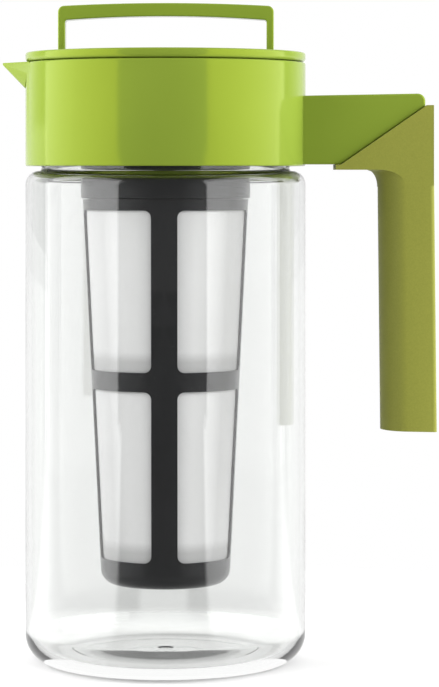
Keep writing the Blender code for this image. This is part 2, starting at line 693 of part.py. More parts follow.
def bail_outline():
    """Front view of the lid handle, measured from its pivot."""
    inner = BAIL_INNER_SPAN
    top_end = BAIL_HEIGHT - BAIL_TOP_ARCH
    under_end = top_end - BAIL_BAR_END_THICKNESS
    under_rise = BAIL_HEIGHT - BAIL_BAR_THICKNESS - under_end
    outer_corner = (BAIL_HALF_SPAN - BAIL_CORNER_ROUND, top_end - BAIL_CORNER_ROUND)
    inner_corner = (inner - BAIL_INNER_ROUND, under_end - BAIL_INNER_ROUND)
    right = arc(outer_corner, BAIL_CORNER_ROUND, 0, 90, ROUND_STEPS // 2)
    top = arch(outer_corner[0], top_end, BAIL_TOP_ARCH, ARCH_STEPS)
    left = [(-x, z) for x, z in reversed(right)]
    inner_left = [(-x, z) for x, z in arc(inner_corner, BAIL_INNER_ROUND, 0, 90, EDGE_STEPS)]
    under = arch(-inner_corner[0], under_end, under_rise, ARCH_STEPS)
    inner_right = arc(inner_corner, BAIL_INNER_ROUND, 90, 0, EDGE_STEPS)
    outline = [(BAIL_HALF_SPAN, 0)] + right + top[1:-1] + left + [(-BAIL_HALF_SPAN, 0), (-inner, 0)]
    outline += inner_left + under[1:-1] + inner_right + [(inner, 0)]
    return outline


def make_bail(material):
    """Lid handle with a round end, a cam and a pin hole on each leg; its origin is the pivot."""
    pivot = (0, PIVOT_OFFSET, PIVOT_HEIGHT)
    bail = add_piece("bail", side_slab_mesh("bail", bail_outline(), BAIL_WIDTH / 2), material)
    place(bail, pivot)
    for side in (-1, 1):
        name = "left" if side < 0 else "right"
        eye_start = side * (BAIL_INNER_SPAN - EYE_PROUD)
        eye_end = side * (BAIL_HALF_SPAN + EYE_PROUD)
        eye = rod_mesh(f"eye_{name}", BAIL_WIDTH / 2 + EYE_PROUD, eye_start, eye_end)
        shape(bail, place(add_tool(f"eye_{name}", eye), pivot), "UNION")
        cam_end = (BAIL_INNER_SPAN + BAIL_HALF_SPAN) / 2
        cam_centre = (CAM_OFFSET, -CAM_OFFSET)
        cam = rod_mesh(f"cam_{name}", CAM_RADIUS, side * CAM_INNER_REACH, side * cam_end, cam_centre)
        shape(bail, place(add_tool(f"cam_{name}", cam), pivot), "UNION")
        hole_start = side * (CAM_INNER_REACH - OVERRUN)
        hole_end = side * (BAIL_HALF_SPAN + OVERRUN)
        hole = rod_mesh(f"bail_hole_{name}", PIN_RADIUS + FIT, hole_start, hole_end)
        shape(bail, place(add_tool(f"bail_hole_{name}", hole), pivot), "DIFFERENCE")
    return bail


def make_plug(material):
    """Disc under the seal, with two towers that the cams lift and a spigot with lugs."""
    profile = [
        (0, PLUG_TOP),
        (PLUG_RADIUS, PLUG_TOP),
        (PLUG_RADIUS, PLUG_BOTTOM),
        (SPIGOT_RADIUS, PLUG_BOTTOM),
        (SPIGOT_RADIUS, SPIGOT_BOTTOM),
        (SPIGOT_INNER, SPIGOT_BOTTOM),
        (SPIGOT_INNER, PLUG_BOTTOM),
        (0, PLUG_BOTTOM),
    ]
    plug = turned("lid_plug", profile, material)
    middle = tower_middle()
    tower_low = (TOWER_INNER_REACH, middle - TOWER_HALF_WIDTH, PLUG_BOTTOM + PLUG_THICKNESS / 2)
    tower_high = (
        TOWER_INNER_REACH + TOWER_THICKNESS,
        middle + TOWER_HALF_WIDTH,
        LID_TOP - TOWER_TOP_DROP,
    )
    eye_half_width = CAM_RADIUS + FIT + CAM_TRAVEL_SIDE / 2
    eye_half_height = CAM_RADIUS + FIT
    cam_height = PIVOT_HEIGHT - CAM_OFFSET
    eye_low = (TOWER_INNER_REACH - OVERRUN, middle - eye_half_width, cam_height - eye_half_height)
    eye_high = (
        TOWER_INNER_REACH + TOWER_THICKNESS + OVERRUN,
        middle + eye_half_width,
        cam_height + eye_half_height,
    )
    for side in (-1, 1):
        name = "left" if side < 0 else "right"
        low, high = mirrored(tower_low, tower_high, side)
        shape(plug, add_tool(f"tower_{name}", box_mesh(f"tower_{name}", low, high)), "UNION")
        low, high = mirrored(eye_low, eye_high, side)
        shape(plug, add_tool(f"tower_eye_{name}", box_mesh(f"tower_eye_{name}", low, high)), "DIFFERENCE")
    lug_end = math.sqrt(LUG_REACH**2 - LUG_HALF_WIDTH**2)
    lug_low = (SPIGOT_RADIUS - SPIGOT_WALL / 2, -LUG_HALF_WIDTH, LUG_BOTTOM)
    lug_corners = box_corners(lug_low, (lug_end, LUG_HALF_WIDTH, LUG_TOP))
    for index in range(LUG_COUNT):
        corners = turned_about_z(lug_corners, index * 360 / LUG_COUNT)
        shape(plug, add_tool(f"lug_{index + 1}", hull_mesh(f"lug_{index + 1}", corners)), "UNION")
    return plug


def make_ring(material):
    """Top ring of the basket, whose lip hangs on the lugs and has a gap for each of them."""
    profile = [
        (RING_RADIUS, RING_TOP),
        (RING_RADIUS, RING_BOTTOM),
        (RING_INNER, RING_BOTTOM),
        (RING_INNER, LIP_BOTTOM),
        (LIP_OPENING_RADIUS, LIP_BOTTOM),
        (LIP_OPENING_RADIUS, RING_TOP),
    ]
    ring = turned("infuser_ring", profile, material, closed=True)
    notch_end = math.sqrt(RING_INNER**2 - NOTCH_HALF_WIDTH**2)
    notch_low = (SPIGOT_INNER, -NOTCH_HALF_WIDTH, LIP_BOTTOM - OVERRUN)
    corners = box_corners(notch_low, (notch_end, NOTCH_HALF_WIDTH, RING_TOP + OVERRUN))
    for index in range(LUG_COUNT):
        turned_corners = turned_about_z(corners, LOCK_TURN + index * 360 / LUG_COUNT)
        notch = hull_mesh(f"lug_notch_{index + 1}", turned_corners)
        shape(ring, add_tool(f"lug_notch_{index + 1}", notch), "DIFFERENCE")
    return ring


def frame_radius(height):
    """Outer radius of the tapered frame at a height."""
    low = FRAME_BOTTOM_HEIGHT + FRAME_BOTTOM_ROUND
    share = (height - low) / (FRAME_SHOULDER - low)
    return FRAME_LOW_RADIUS + (FRAME_TOP_RADIUS - FRAME_LOW_RADIUS) * share


def frame_profile():
    """From the middle of the basket's floor, up inside, over the neck and down the outside."""
    inner_round = FRAME_BOTTOM_ROUND - FRAME_WALL
    floor_top = FRAME_BOTTOM_HEIGHT + FRAME_FLOOR
    corner_height = FRAME_BOTTOM_HEIGHT + FRAME_BOTTOM_ROUND
    neck_inner = FRAME_NECK_RADIUS - FRAME_NECK_WALL
    taper_top = FRAME_SHOULDER - FRAME_NECK_TAPER
    inner_low = frame_radius(floor_top + inner_round) - FRAME_WALL
    points = [(0, floor_top)]
    points += arc((inner_low - inner_round, floor_top + inner_round), inner_round, -90, 0, ROUND_STEPS // 2)
    points += [
        (frame_radius(taper_top) - FRAME_WALL, taper_top),
        (neck_inner, FRAME_SHOULDER),
        (neck_inner, FRAME_NECK_TOP),
        (FRAME_NECK_RADIUS, FRAME_NECK_TOP),
        (FRAME_NECK_RADIUS, FRAME_SHOULDER),
        (FRAME_TOP_RADIUS, FRAME_SHOULDER),
    ]
    corner = (FRAME_LOW_RADIUS - FRAME_BOTTOM_ROUND, corner_height)
    points += arc(corner, FRAME_BOTTOM_ROUND, 0, -90, ROUND_STEPS // 2 + 1)
    points.append((0, FRAME_BOTTOM_HEIGHT))
    return points


def shell_profile(low, high, thickness):
    """A thin wall in the middle of the frame's wall, between two heights."""
    points = []
    for offset, heights in ((thickness / 2, (high, low)), (-thickness / 2, (low, high))):
        for height in heights:
            points.append((frame_radius(height) - FRAME_WALL / 2 + offset, height))
    return points


def quarter_box(name, low, high, start, quarter):
    """A box in one quarter of the plan, its near sides a given distance from the axes."""
    far = FRAME_TOP_RADIUS + OVERRUN
    corners = turned_about_z(box_corners((start, start, low), (far, far, high)), quarter * 90)
    return hull_mesh(name, corners)


def make_frame_and_mesh(frame_material, mesh_material):
    """Basket frame with two rows of four windows, and a mesh panel let into each."""
    frame = turned("infuser_frame", frame_profile(), frame_material)
    rows = (
        ("upper", UPPER_WINDOW_BOTTOM, UPPER_WINDOW_TOP),
        ("lower", LOWER_WINDOW_BOTTOM, LOWER_WINDOW_TOP),
    )
    panels = []
    for row, bottom, top in rows:
        for quarter in range(4):
            label = f"{row}_{quarter + 1}"
            seat = MESH_SEAT
            panel_profile = shell_profile(bottom - seat, top + seat, MESH_THICKNESS)
            panel = turned(f"mesh_{label}", panel_profile, mesh_material, closed=True)
            keep = quarter_box(
                f"panel_{label}", bottom - OVERRUN, top + OVERRUN, RIB_HALF_WIDTH - seat, quarter
            )
            shape(panel, add_tool(f"panel_{label}", keep), "INTERSECT")
            panels.append(panel)
            seat = MESH_SEAT + FIT
            groove_profile = shell_profile(bottom - seat, top + seat, MESH_THICKNESS + 2 * FIT)
            groove = turned(f"groove_{label}", groove_profile, closed=True)
            keep = quarter_box(
                f"groove_end_{label}", bottom - OVERRUN, top + OVERRUN, RIB_HALF_WIDTH - seat, quarter
            )
            shape(groove, add_tool(f"groove_end_{label}", keep), "INTERSECT")
            shape(frame, groove, "DIFFERENCE")
            window = add_tool(
                f"window_{label}", quarter_box(f"window_{label}", bottom, top, RIB_HALF_WIDTH, quarter)
            )
            rounding = window.modifiers.new("Rounding", "BEVEL")
            rounding.width = WINDOW_ROUND
            rounding.segments = ROUND_STEPS // 2
            shape(frame, window, "DIFFERENCE")
    return [frame] + panels


clear_scene()
PARTS = new_collection("iced_tea_maker")
TOOLS = new_collection("cutters")
TOOLS.hide_render = True

clear_plastic = plastic("clear_plastic", (0.93, 0.94, 0.93), 0.04, transmission=1)
green_plastic = plastic("green_plastic", (0.42, 0.56, 0.035), 0.28)
olive_rubber = plastic("olive_rubber", (0.25, 0.26, 0.035), 0.62)
pale_silicone = plastic("pale_silicone", (0.75, 0.76, 0.72), 0.5)
dark_plastic = plastic("dark_plastic", (0.030, 0.030, 0.032), 0.35)
white_mesh = plastic("white_mesh", (0.74, 0.74, 0.71), 0.6)
pin_steel = steel("pin_steel", (0.62, 0.62, 0.63), 0.25)

pieces = [
    make_jug(clear_plastic),
    make_neck_seal(pale_silicone),
    make_collar(green_plastic),
    make_sleeve(olive_rubber),
    make_lid(green_plastic.copy()),
    make_pin("pivot_pin_left", -1, pin_steel),
    make_pin("pivot_pin_right", 1, pin_steel),
    make_seal_ring(pale_silicone.copy()),
    make_bail(green_plastic.copy()),
    make_plug(green_plastic.copy()),
    make_ring(dark_plastic),
]
pieces += make_frame_and_mesh(dark_plastic.copy(), white_mesh)
for finished in pieces:
    settle(finished)
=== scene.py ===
# Iced tea maker: a clear jug with a green spouted collar, a soft-grip handle, a lid with a
# folding handle, and a brewing basket that hangs from the lid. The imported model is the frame.
import json
import math

import bpy
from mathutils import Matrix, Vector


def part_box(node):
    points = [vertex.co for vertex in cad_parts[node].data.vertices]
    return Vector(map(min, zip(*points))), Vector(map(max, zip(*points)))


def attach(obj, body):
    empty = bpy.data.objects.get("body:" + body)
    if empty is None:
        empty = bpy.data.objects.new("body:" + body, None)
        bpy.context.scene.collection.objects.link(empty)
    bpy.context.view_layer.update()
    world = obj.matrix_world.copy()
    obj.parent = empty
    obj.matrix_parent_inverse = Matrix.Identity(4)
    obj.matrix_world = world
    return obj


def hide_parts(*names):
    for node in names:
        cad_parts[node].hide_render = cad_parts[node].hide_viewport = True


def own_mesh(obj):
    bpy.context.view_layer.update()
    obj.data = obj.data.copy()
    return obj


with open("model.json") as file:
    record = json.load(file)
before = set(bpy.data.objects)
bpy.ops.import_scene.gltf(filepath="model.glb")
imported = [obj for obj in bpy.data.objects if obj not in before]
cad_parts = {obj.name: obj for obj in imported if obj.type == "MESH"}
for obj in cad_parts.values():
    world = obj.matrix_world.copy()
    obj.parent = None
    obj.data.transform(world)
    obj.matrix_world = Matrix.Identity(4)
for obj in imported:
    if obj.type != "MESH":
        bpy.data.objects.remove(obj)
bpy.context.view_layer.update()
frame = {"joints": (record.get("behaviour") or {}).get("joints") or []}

MM = 0.001


# Jug
# One clear copolyester moulding: a straight wall on a rolled base edge, a small shoulder, and
# a neck with a snap bead that the collar clicks over. A notch in the neck lets the tea out.
jug_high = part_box("jug_body")[1]
JUG_RADIUS = jug_high.x
NECK_TOP = jug_high.z
JUG_WALL = 2.5 * MM
JUG_FLOOR = 3.5 * MM
BASE_ROUND = 12 * MM
SHOULDER_ROUND = 5.5 * MM
SHOULDER_HEIGHT = 196.3 * MM
NECK_RADIUS = 49.7 * MM
NECK_WALL = 2.2 * MM
NECK_LIP_ROUND = 0.9 * MM
NECK_FOOT_ROUND = 0.8 * MM
BEAD_HEIGHT = 206.0 * MM
BEAD_RISE = 1.0 * MM
FLOOR_BOSS_RADIUS = 19.0 * MM
FLOOR_BOSS_TOP_RADIUS = 10.0 * MM
FLOOR_BOSS_RISE = 2.0 * MM
GATE_DIMPLE_RADIUS = 3.0 * MM
GATE_DIMPLE_DEPTH = 0.5 * MM
STAND_RING_INNER = 38.0 * MM
STAND_RING_RISE = 0.6 * MM
POUR_NOTCH_HALF_WIDTH = 7.0 * MM
POUR_NOTCH_DEPTH = 5.0 * MM
POUR_NOTCH_ROUND = 1.0 * MM
OVERRUN = 2.0 * MM
TURN_STEPS = 144
MERGE = 0.005 * MM


def arc(centre, radius, start, end, steps=8):
    """Points along an arc, from the start angle to the end angle in degrees."""
    points = []
    for step in range(steps + 1):
        angle = math.radians(start + (end - start) * step / steps)
        points.append((centre[0] + radius * math.cos(angle), centre[1] + radius * math.sin(angle)))
    return points


def pencil_line(name, points):
    """A new object in edit mode: one point, drawn out from place to place."""
    bpy.ops.object.select_all(action="DESELECT")
    bpy.ops.mesh.primitive_plane_add(size=MM)
    bpy.context.object.name = name
    bpy.ops.object.mode_set(mode="EDIT")
    bpy.ops.mesh.merge(type="CENTER")
    bpy.ops.transform.translate(value=points[0])
    for before, after in zip(points, points[1:]):
        step = [new - old for old, new in zip(before, after)]
        bpy.ops.mesh.extrude_vertices_move(TRANSFORM_OT_translate={"value": step})
    bpy.ops.mesh.select_all(action="SELECT")
    return bpy.context.object


def smooth(piece, angle=32):
    """Merges doubles, points the faces outwards and shades all but the real edges smooth."""
    bpy.ops.object.mode_set(mode="EDIT")
    bpy.ops.mesh.select_all(action="SELECT")
    bpy.ops.mesh.remove_doubles(threshold=MERGE)
    bpy.ops.mesh.normals_make_consistent(inside=False)
    bpy.ops.object.mode_set(mode="OBJECT")
    bpy.ops.object.shade_smooth_by_angle(angle=math.radians(angle))
    return piece


def turned(name, profile, closed=False, steps=TURN_STEPS):
    """Spins half a cross-section, given as radii and heights, round the jug's axis."""
    points = [(radius, 0, height) for radius, height in profile]
    if closed:
        points.append(points[0])
    piece = pencil_line(name, points)
    bpy.ops.mesh.spin(steps=steps, angle=math.tau, center=(0, 0, 0), axis=(0, 0, 1))
    return smooth(piece)


def block(name, low, high, rounding=0, segments=3):
    """A box between two corners, its edges rounded if a size is given."""
    bpy.ops.object.select_all(action="DESELECT")
    middle = [(a + b) / 2 for a, b in zip(low, high)]
    bpy.ops.mesh.primitive_cube_add(size=1, location=middle)
    piece = bpy.context.object
    piece.name = name
    piece.scale = [b - a for a, b in zip(low, high)]
    bpy.ops.object.transform_apply(location=True, rotation=True, scale=True)
    if rounding:
        round_edges(piece, rounding, segments)
    return piece


def pick(piece):
    """Makes a piece the active one, and the only one that is selected."""
    bpy.ops.object.select_all(action="DESELECT")
    piece.select_set(True)
    bpy.context.view_layer.objects.active = piece


def apply_modifier(piece, modifier):
    """Makes what a modifier does to a piece part of its mesh."""
    pick(piece)
    bpy.ops.object.modifier_apply(modifier=modifier.name)


def round_edges(piece, width, segments=3, angle=30):
    """Rounds each edge that is sharper than the angle."""
    bevel = piece.modifiers.new("Rounding", "BEVEL")
    bevel.width = width
    bevel.segments = segments
    bevel.limit_method = "ANGLE"
    bevel.angle_limit = math.radians(angle)
    apply_modifier(piece, bevel)


def combine(piece, tool, operation):
    """Joins a tool to a piece, cuts it away, or keeps what they share; the tool is used up."""
    boolean = piece.modifiers.new("Combine", "BOOLEAN")
    boolean.operation = operation
    boolean.solver = "EXACT"
    boolean.object = tool
    apply_modifier(piece, boolean)
    bpy.data.objects.remove(tool, do_unlink=True)


def hex_colour(code):
    """An sRGB colour such as #a4b832, as the linear values that a shader takes."""
    channels = [int(code[place : place + 2], 16) / 255 for place in (1, 3, 5)]
    return (*(c / 12.92 if c <= 0.04045 else ((c + 0.055) / 1.055) ** 2.4 for c in channels), 1)


def new_material(name):
    """An empty material, and the tree that its nodes go into."""
    material = bpy.data.materials.new(name)
    material.use_nodes = True
    material.node_tree.nodes.clear()
    return material, material.node_tree


def add_node(tree, kind, inputs=None, **settings):
    """Adds a node. Each input gets a value, or a link from an output, or from a node's first."""
    node = tree.nodes.new(kind)
    for key, value in settings.items():
        setattr(node, key, value)
    for socket, value in (inputs or {}).items():
        if isinstance(value, bpy.types.Node):
            value = value.outputs[0]
        if isinstance(value, bpy.types.NodeSocket):
            tree.links.new(value, node.inputs[socket])
        else:
            node.inputs[socket].default_value = value
    return node


def dress(piece, material, body, slot, *nodes):
    """Gives a piece its material and its body, and hides the nodes that it stands for. The slot is
    not used.
    """
    piece.data.materials.clear()
    piece.data.materials.append(material)
    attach(piece, body)
    if nodes:
        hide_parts(*nodes)


def clear_copolyester():
    """Clear copolyester, injection moulded and polished: glossy, with the faint waves of a
    moulded wall. Lamps shine through it, as they do through a thin clear wall."""
    material, tree = new_material("clear_copolyester")
    place = add_node(tree, "ShaderNodeTexCoord").outputs["Object"]
    wave_length = 28 * MM
    waves = add_node(tree, "ShaderNodeTexNoise", {
        "Vector": place, "Scale": 1 / wave_length, "Detail": 1.0
    })
    bump = add_node(tree, "ShaderNodeBump", {
        "Height": waves, "Strength": 0.10, "Distance": 0.25 * MM
    })
    wall = add_node(tree, "ShaderNodeBsdfPrincipled", {
        "Base Color": hex_colour("#fafbfa"),
        "Roughness": 0.015,
        "IOR": 1.55,
        "Transmission Weight": 1.0,
        "Normal": bump,
    })
    slant = add_node(tree, "ShaderNodeLayerWeight", {"Blend": 0.5})
    held_back = add_node(tree, "ShaderNodeMapRange", {
        "Value": slant.outputs["Facing"], "From Min": 0.35, "To Min": 0.95, "To Max": 0.12
    })
    lamp_light = add_node(tree, "ShaderNodeBsdfTransparent", {"Color": held_back})
    path = add_node(tree, "ShaderNodeLightPath")
    soft_light = add_node(tree, "ShaderNodeMath", {
        0: path.outputs["Is Shadow Ray"], 1: path.outputs["Is Diffuse Ray"]
    }, operation="MAXIMUM")
    either = add_node(tree, "ShaderNodeMixShader", {0: soft_light, 1: wall, 2: lamp_light})
    add_node(tree, "ShaderNodeOutputMaterial", {"Surface": either})
    return material


jug_inner = JUG_RADIUS - JUG_WALL
neck_inner = NECK_RADIUS - NECK_WALL
shoulder = (JUG_RADIUS - SHOULDER_ROUND, SHOULDER_HEIGHT - SHOULDER_ROUND)
neck_foot = (NECK_RADIUS + NECK_FOOT_ROUND, SHOULDER_HEIGHT + NECK_FOOT_ROUND)
base_round = BASE_ROUND - JUG_WALL
boss_top = JUG_FLOOR + FLOOR_BOSS_RISE
lip_centre = NECK_TOP - NECK_LIP_ROUND
profile = [(0, boss_top - GATE_DIMPLE_DEPTH), (GATE_DIMPLE_RADIUS, boss_top - GATE_DIMPLE_DEPTH)]
profile += [(GATE_DIMPLE_RADIUS + GATE_DIMPLE_DEPTH, boss_top), (FLOOR_BOSS_TOP_RADIUS, boss_top)]
profile += [(FLOOR_BOSS_RADIUS, JUG_FLOOR)]
profile += arc((jug_inner - base_round, JUG_FLOOR + base_round), base_round, -90, 0, 16)
profile += arc(shoulder, SHOULDER_ROUND - JUG_WALL, 0, 90, 10)
profile += [(neck_inner, SHOULDER_HEIGHT - JUG_WALL)]
profile += arc((neck_inner + NECK_LIP_ROUND, lip_centre), NECK_LIP_ROUND, 180, 90, 4)
profile += arc((NECK_RADIUS - NECK_LIP_ROUND, lip_centre), NECK_LIP_ROUND, 90, 0, 4)
profile += arc((NECK_RADIUS, BEAD_HEIGHT), BEAD_RISE, 90, -90, 6)
profile += arc(neck_foot, NECK_FOOT_ROUND, 180, 270, 4)
profile += arc(shoulder, SHOULDER_ROUND, 90, 0, 14)
profile += arc((JUG_RADIUS - BASE_ROUND, BASE_ROUND), BASE_ROUND, 0, -90, 20)
profile += [(STAND_RING_INNER, 0), (STAND_RING_INNER - STAND_RING_RISE, STAND_RING_RISE)]
profile += [(0, STAND_RING_RISE)]
jug = turned("jug", profile)
notch = block(
    "pour_notch",
    (-NECK_RADIUS - OVERRUN, -POUR_NOTCH_HALF_WIDTH, NECK_TOP - POUR_NOTCH_DEPTH),
    (-neck_inner + OVERRUN, POUR_NOTCH_HALF_WIDTH, NECK_TOP + OVERRUN),
    POUR_NOTCH_ROUND,
)
combine(jug, notch, "DIFFERENCE")
smooth(jug)
dress(jug, clear_copolyester(), "pitcher", "clear_plastic", "jug_body")


# Neck seal
# A moulded silicone ring in the collar's groove, squeezed against the neck so that tea can't
# creep down between them. Silicone is translucent and slightly dull.
neck_seal_low, neck_seal_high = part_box("neck_seal")
NECK_SEAL_HEIGHT = (neck_seal_low.z + neck_seal_high.z) / 2
NECK_SEAL_HALF = (neck_seal_high.z - neck_seal_low.z) / 2


def moulded_silicone():
    """Platinum silicone, moulded: milky, soft-looking and a little dull, with a fine dusty grain."""
    material, tree = new_material("moulded_silicone")
    place = add_node(tree, "ShaderNodeTexCoord").outputs["Object"]
    grain_size = 0.8 * MM
    grain = add_node(tree, "ShaderNodeTexNoise", {
        "Vector": place, "Scale": 1 / grain_size, "Detail": 2.0
    })
    dull = add_node(tree, "ShaderNodeMapRange", {"Value": grain, "To Min": 0.38, "To Max": 0.55})
    bump = add_node(tree, "ShaderNodeBump", {
        "Height": grain, "Strength": 0.15, "Distance": 0.03 * MM
    })
    body = add_node(tree, "ShaderNodeBsdfPrincipled", {
        "Base Color": hex_colour("#dcded8"),
        "Roughness": dull,
        "IOR": 1.41,
        "Subsurface Weight": 0.3,
        "Subsurface Scale": 1.5 * MM,
        "Normal": bump,
    })
    add_node(tree, "ShaderNodeOutputMaterial", {"Surface": body})
    return material


silicone = moulded_silicone()
neck_seal = turned(
    "neck_seal_ring",
    arc((neck_seal_high.x - NECK_SEAL_HALF, NECK_SEAL_HEIGHT), NECK_SEAL_HALF, 90, -270, 16)[:-1],
    closed=True,
)
dress(neck_seal, silicone, "pitcher", "pale_silicone", "neck_seal")


# Collar
# One green polypropylene moulding: the ring that snaps over the neck, the beak of the spout,
# the bracket to the handle, and the tapering core that the grip sleeve is pushed onto.
COLLAR_RADIUS = JUG_RADIUS
collar_low, collar_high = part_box("collar")
COLLAR_TOP = collar_high.z
COLLAR_BOTTOM = 198.1 * MM
COLLAR_EDGE_ROUND = 0.7 * MM
BORE_RADIUS = 50.3 * MM
BEAD_GROOVE_RADIUS = 51.0 * MM
BEAD_GROOVE_HALF = 1.5 * MM
SEAL_GROOVE_RADIUS = 52.2 * MM
SEAL_GROOVE_HALF = 1.25 * MM
POUR_GROOVE_DEPTH = 2.9 * MM
SPOUT_REACH = -collar_low.x
SPOUT_HALF_WIDTH = 16.3 * MM
SPOUT_DEPTH = 10.4 * MM
SPOUT_WALL = 1.8 * MM
SPOUT_TIP_ROUND = 0.9 * MM
SPOUT_LIP = 0.8 * MM
SPOUT_FOOT_HALF_WIDTH = 6.7 * MM
BRACKET_HALF_WIDTH = 12.0 * MM
BRACKET_BOTTOM = 198.8 * MM
BRACKET_TOP_START = 226.0 * MM
BRACKET_TOP_END = 226.9 * MM
BRACKET_END = 103.2 * MM
BRACKET_CORNER_ROUND = 3.0 * MM
BRACKET_EDGE_ROUND = 0.7 * MM
SEAM_LOW = (67.6 * MM, 197.3 * MM)
SEAM_HIGH = (103.8 * MM, 222.3 * MM)
SEAM_SLOPE = (SEAM_HIGH[1] - SEAM_LOW[1]) / (SEAM_HIGH[0] - SEAM_LOW[0])
SEAM_GAP = 0.05 * MM
SLEEVE_WALL = 4.0 * MM


def round_edged(radius, top, bottom, rounding):
    """Profile down the outside of a ring or disc, with its two edges rounded."""
    upper = arc((radius - rounding, top - rounding), rounding, 90, 0, 4)
    return upper + arc((radius - rounding, bottom + rounding), rounding, 0, -90, 4)


def drawn_slab(name, outline, low, high):
    """A flat outline in X and Z, drawn at one Y, filled, and pulled out to another."""
    piece = pencil_line(name, [(x, low, z) for x, z in [*outline, outline[0]]])
    bpy.ops.mesh.remove_doubles(threshold=MERGE)
    bpy.ops.mesh.edge_face_add()
    bpy.ops.mesh.extrude_region_move(TRANSFORM_OT_translate={"value": (0, high - low, 0)})
    return smooth(piece)


def hull(name, points):
    """A solid stretched over a few corner points, like shrink wrap."""
    piece = pencil_line(name, points)
    bpy.ops.mesh.convex_hull()
    return smooth(piece)


def seam_height(reach, gap=0):
    """Height of the slanted seam between bracket and sleeve, or of a line above it."""
    run = SEAM_HIGH[0] - SEAM_LOW[0]
    rise = SEAM_HIGH[1] - SEAM_LOW[1]
    return SEAM_LOW[1] + ((reach - SEAM_LOW[0]) * rise + gap * math.hypot(run, rise)) / run


def spout_corners(inset, top):
    """Corners of the beak, or of the trough inside it where an inset is given."""
    half_width = SPOUT_HALF_WIDTH - inset
    foot_half_width = SPOUT_FOOT_HALF_WIDTH - inset
    root = math.sqrt(COLLAR_RADIUS**2 - SPOUT_HALF_WIDTH**2)
    slant = math.atan2(SPOUT_HALF_WIDTH, SPOUT_REACH - root)
    tip = SPOUT_REACH - inset / math.sin(slant)
    foot = COLLAR_TOP - SPOUT_DEPTH + inset
    corners = []
    for x, y in arc((-tip + SPOUT_TIP_ROUND, 0), SPOUT_TIP_ROUND, 120, 240, 6):
        corners += [(x, y, top), (x, y, COLLAR_TOP - SPOUT_LIP)]
    for side in (-1, 1):
        corners += [(-root, side * half_width, top), (-BORE_RADIUS, side * half_width, top)]
    for y, drop in arc((0, 0), 1, -90, 90, 8):
        reach = COLLAR_RADIUS - inset
        height = foot + SPOUT_LIP * (1 - y)
        side = foot_half_width * drop
        corners += [(-reach, side, height), (-BORE_RADIUS, side, height)]
    return corners


def moulded_polypropylene(name, colour, flow_colour, shine_colour, gloss):
    """Polypropylene, injection moulded in a polished tool: an even colour with a soft gloss,
    a very fine orange peel and a slight change of shade where the melt flowed. A strongly
    dyed grade tints its own shine, because the light dips into the skin before it comes back."""
    material, tree = new_material(name)
    place = add_node(tree, "ShaderNodeTexCoord").outputs["Object"]
    flow_length = 45 * MM
    flow = add_node(tree, "ShaderNodeTexNoise", {
        "Vector": place, "Scale": 1 / flow_length, "Detail": 2.0
    })
    shade = add_node(tree, "ShaderNodeValToRGB", {"Fac": flow})
    shade.color_ramp.elements[0].position = 0.35
    shade.color_ramp.elements[0].color = hex_colour(colour)
    shade.color_ramp.elements[1].position = 0.65
    shade.color_ramp.elements[1].color = hex_colour(flow_colour)
    peel_size = 0.9 * MM
    peel = add_node(tree, "ShaderNodeTexNoise", {
        "Vector": place, "Scale": 1 / peel_size, "Detail": 2.0
    })
    bump = add_node(tree, "ShaderNodeBump", {
        "Height": peel, "Strength": 0.12, "Distance": 0.02 * MM
    })
    satin = add_node(tree, "ShaderNodeMapRange", {
        "Value": peel, "To Min": gloss - 0.03, "To Max": gloss + 0.03
    })
    body = add_node(tree, "ShaderNodeBsdfPrincipled", {
        "Base Color": shade,
        "Roughness": satin,
        "IOR": 1.49,
        "Specular IOR Level": 0.55,
        "Specular Tint": hex_colour(shine_colour),
        "Normal": bump,
    })
    add_node(tree, "ShaderNodeOutputMaterial", {"Surface": body})
    return material


profile = [(0, COLLAR_TOP)]
profile += round_edged(COLLAR_RADIUS, COLLAR_TOP, COLLAR_BOTTOM, COLLAR_EDGE_ROUND)
profile += [(0, COLLAR_BOTTOM)]
collar = turned("collar_moulding", profile)
combine(collar, hull("beak", spout_corners(0, COLLAR_TOP)), "UNION")
corner = (BRACKET_END - BRACKET_CORNER_ROUND, BRACKET_TOP_END - BRACKET_CORNER_ROUND)
seam_start = seam_height(SEAM_LOW[0], SEAM_GAP)
low_seam_reach = SEAM_LOW[0] + (BRACKET_BOTTOM - seam_start) / SEAM_SLOPE
outline = [(BORE_RADIUS, BRACKET_BOTTOM), (low_seam_reach, BRACKET_BOTTOM)]
outline += [(BRACKET_END, seam_height(BRACKET_END, SEAM_GAP))]
outline += arc(corner, BRACKET_CORNER_ROUND, 0, 90, 8)
outline += [(BORE_RADIUS, BRACKET_TOP_START)]
bracket = drawn_slab("bracket", outline, -BRACKET_HALF_WIDTH, BRACKET_HALF_WIDTH)
round_edges(bracket, BRACKET_EDGE_ROUND)
combine(collar, bracket, "UNION")

# The grip's plan: flat outside and flat sides, and half an ellipse towards the jug. The core
# is that plan drawn in by the sleeve's wall, and both lean out a little towards the bottom.
GRIP_HALF_WIDTH = 13.6 * MM
GRIP_FLAT_START = 95.1 * MM
GRIP_NOSE = 10.4 * MM
GRIP_OUTER = 106.5 * MM
GRIP_CORNER_ROUND = 1.6 * MM
GRIP_LEAN = 1.2 * MM
GRIP_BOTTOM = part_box("grip_sleeve")[0].z
GRIP_BOTTOM_SLOPE = 0.4 * MM
CORE_TOP = 223.5 * MM


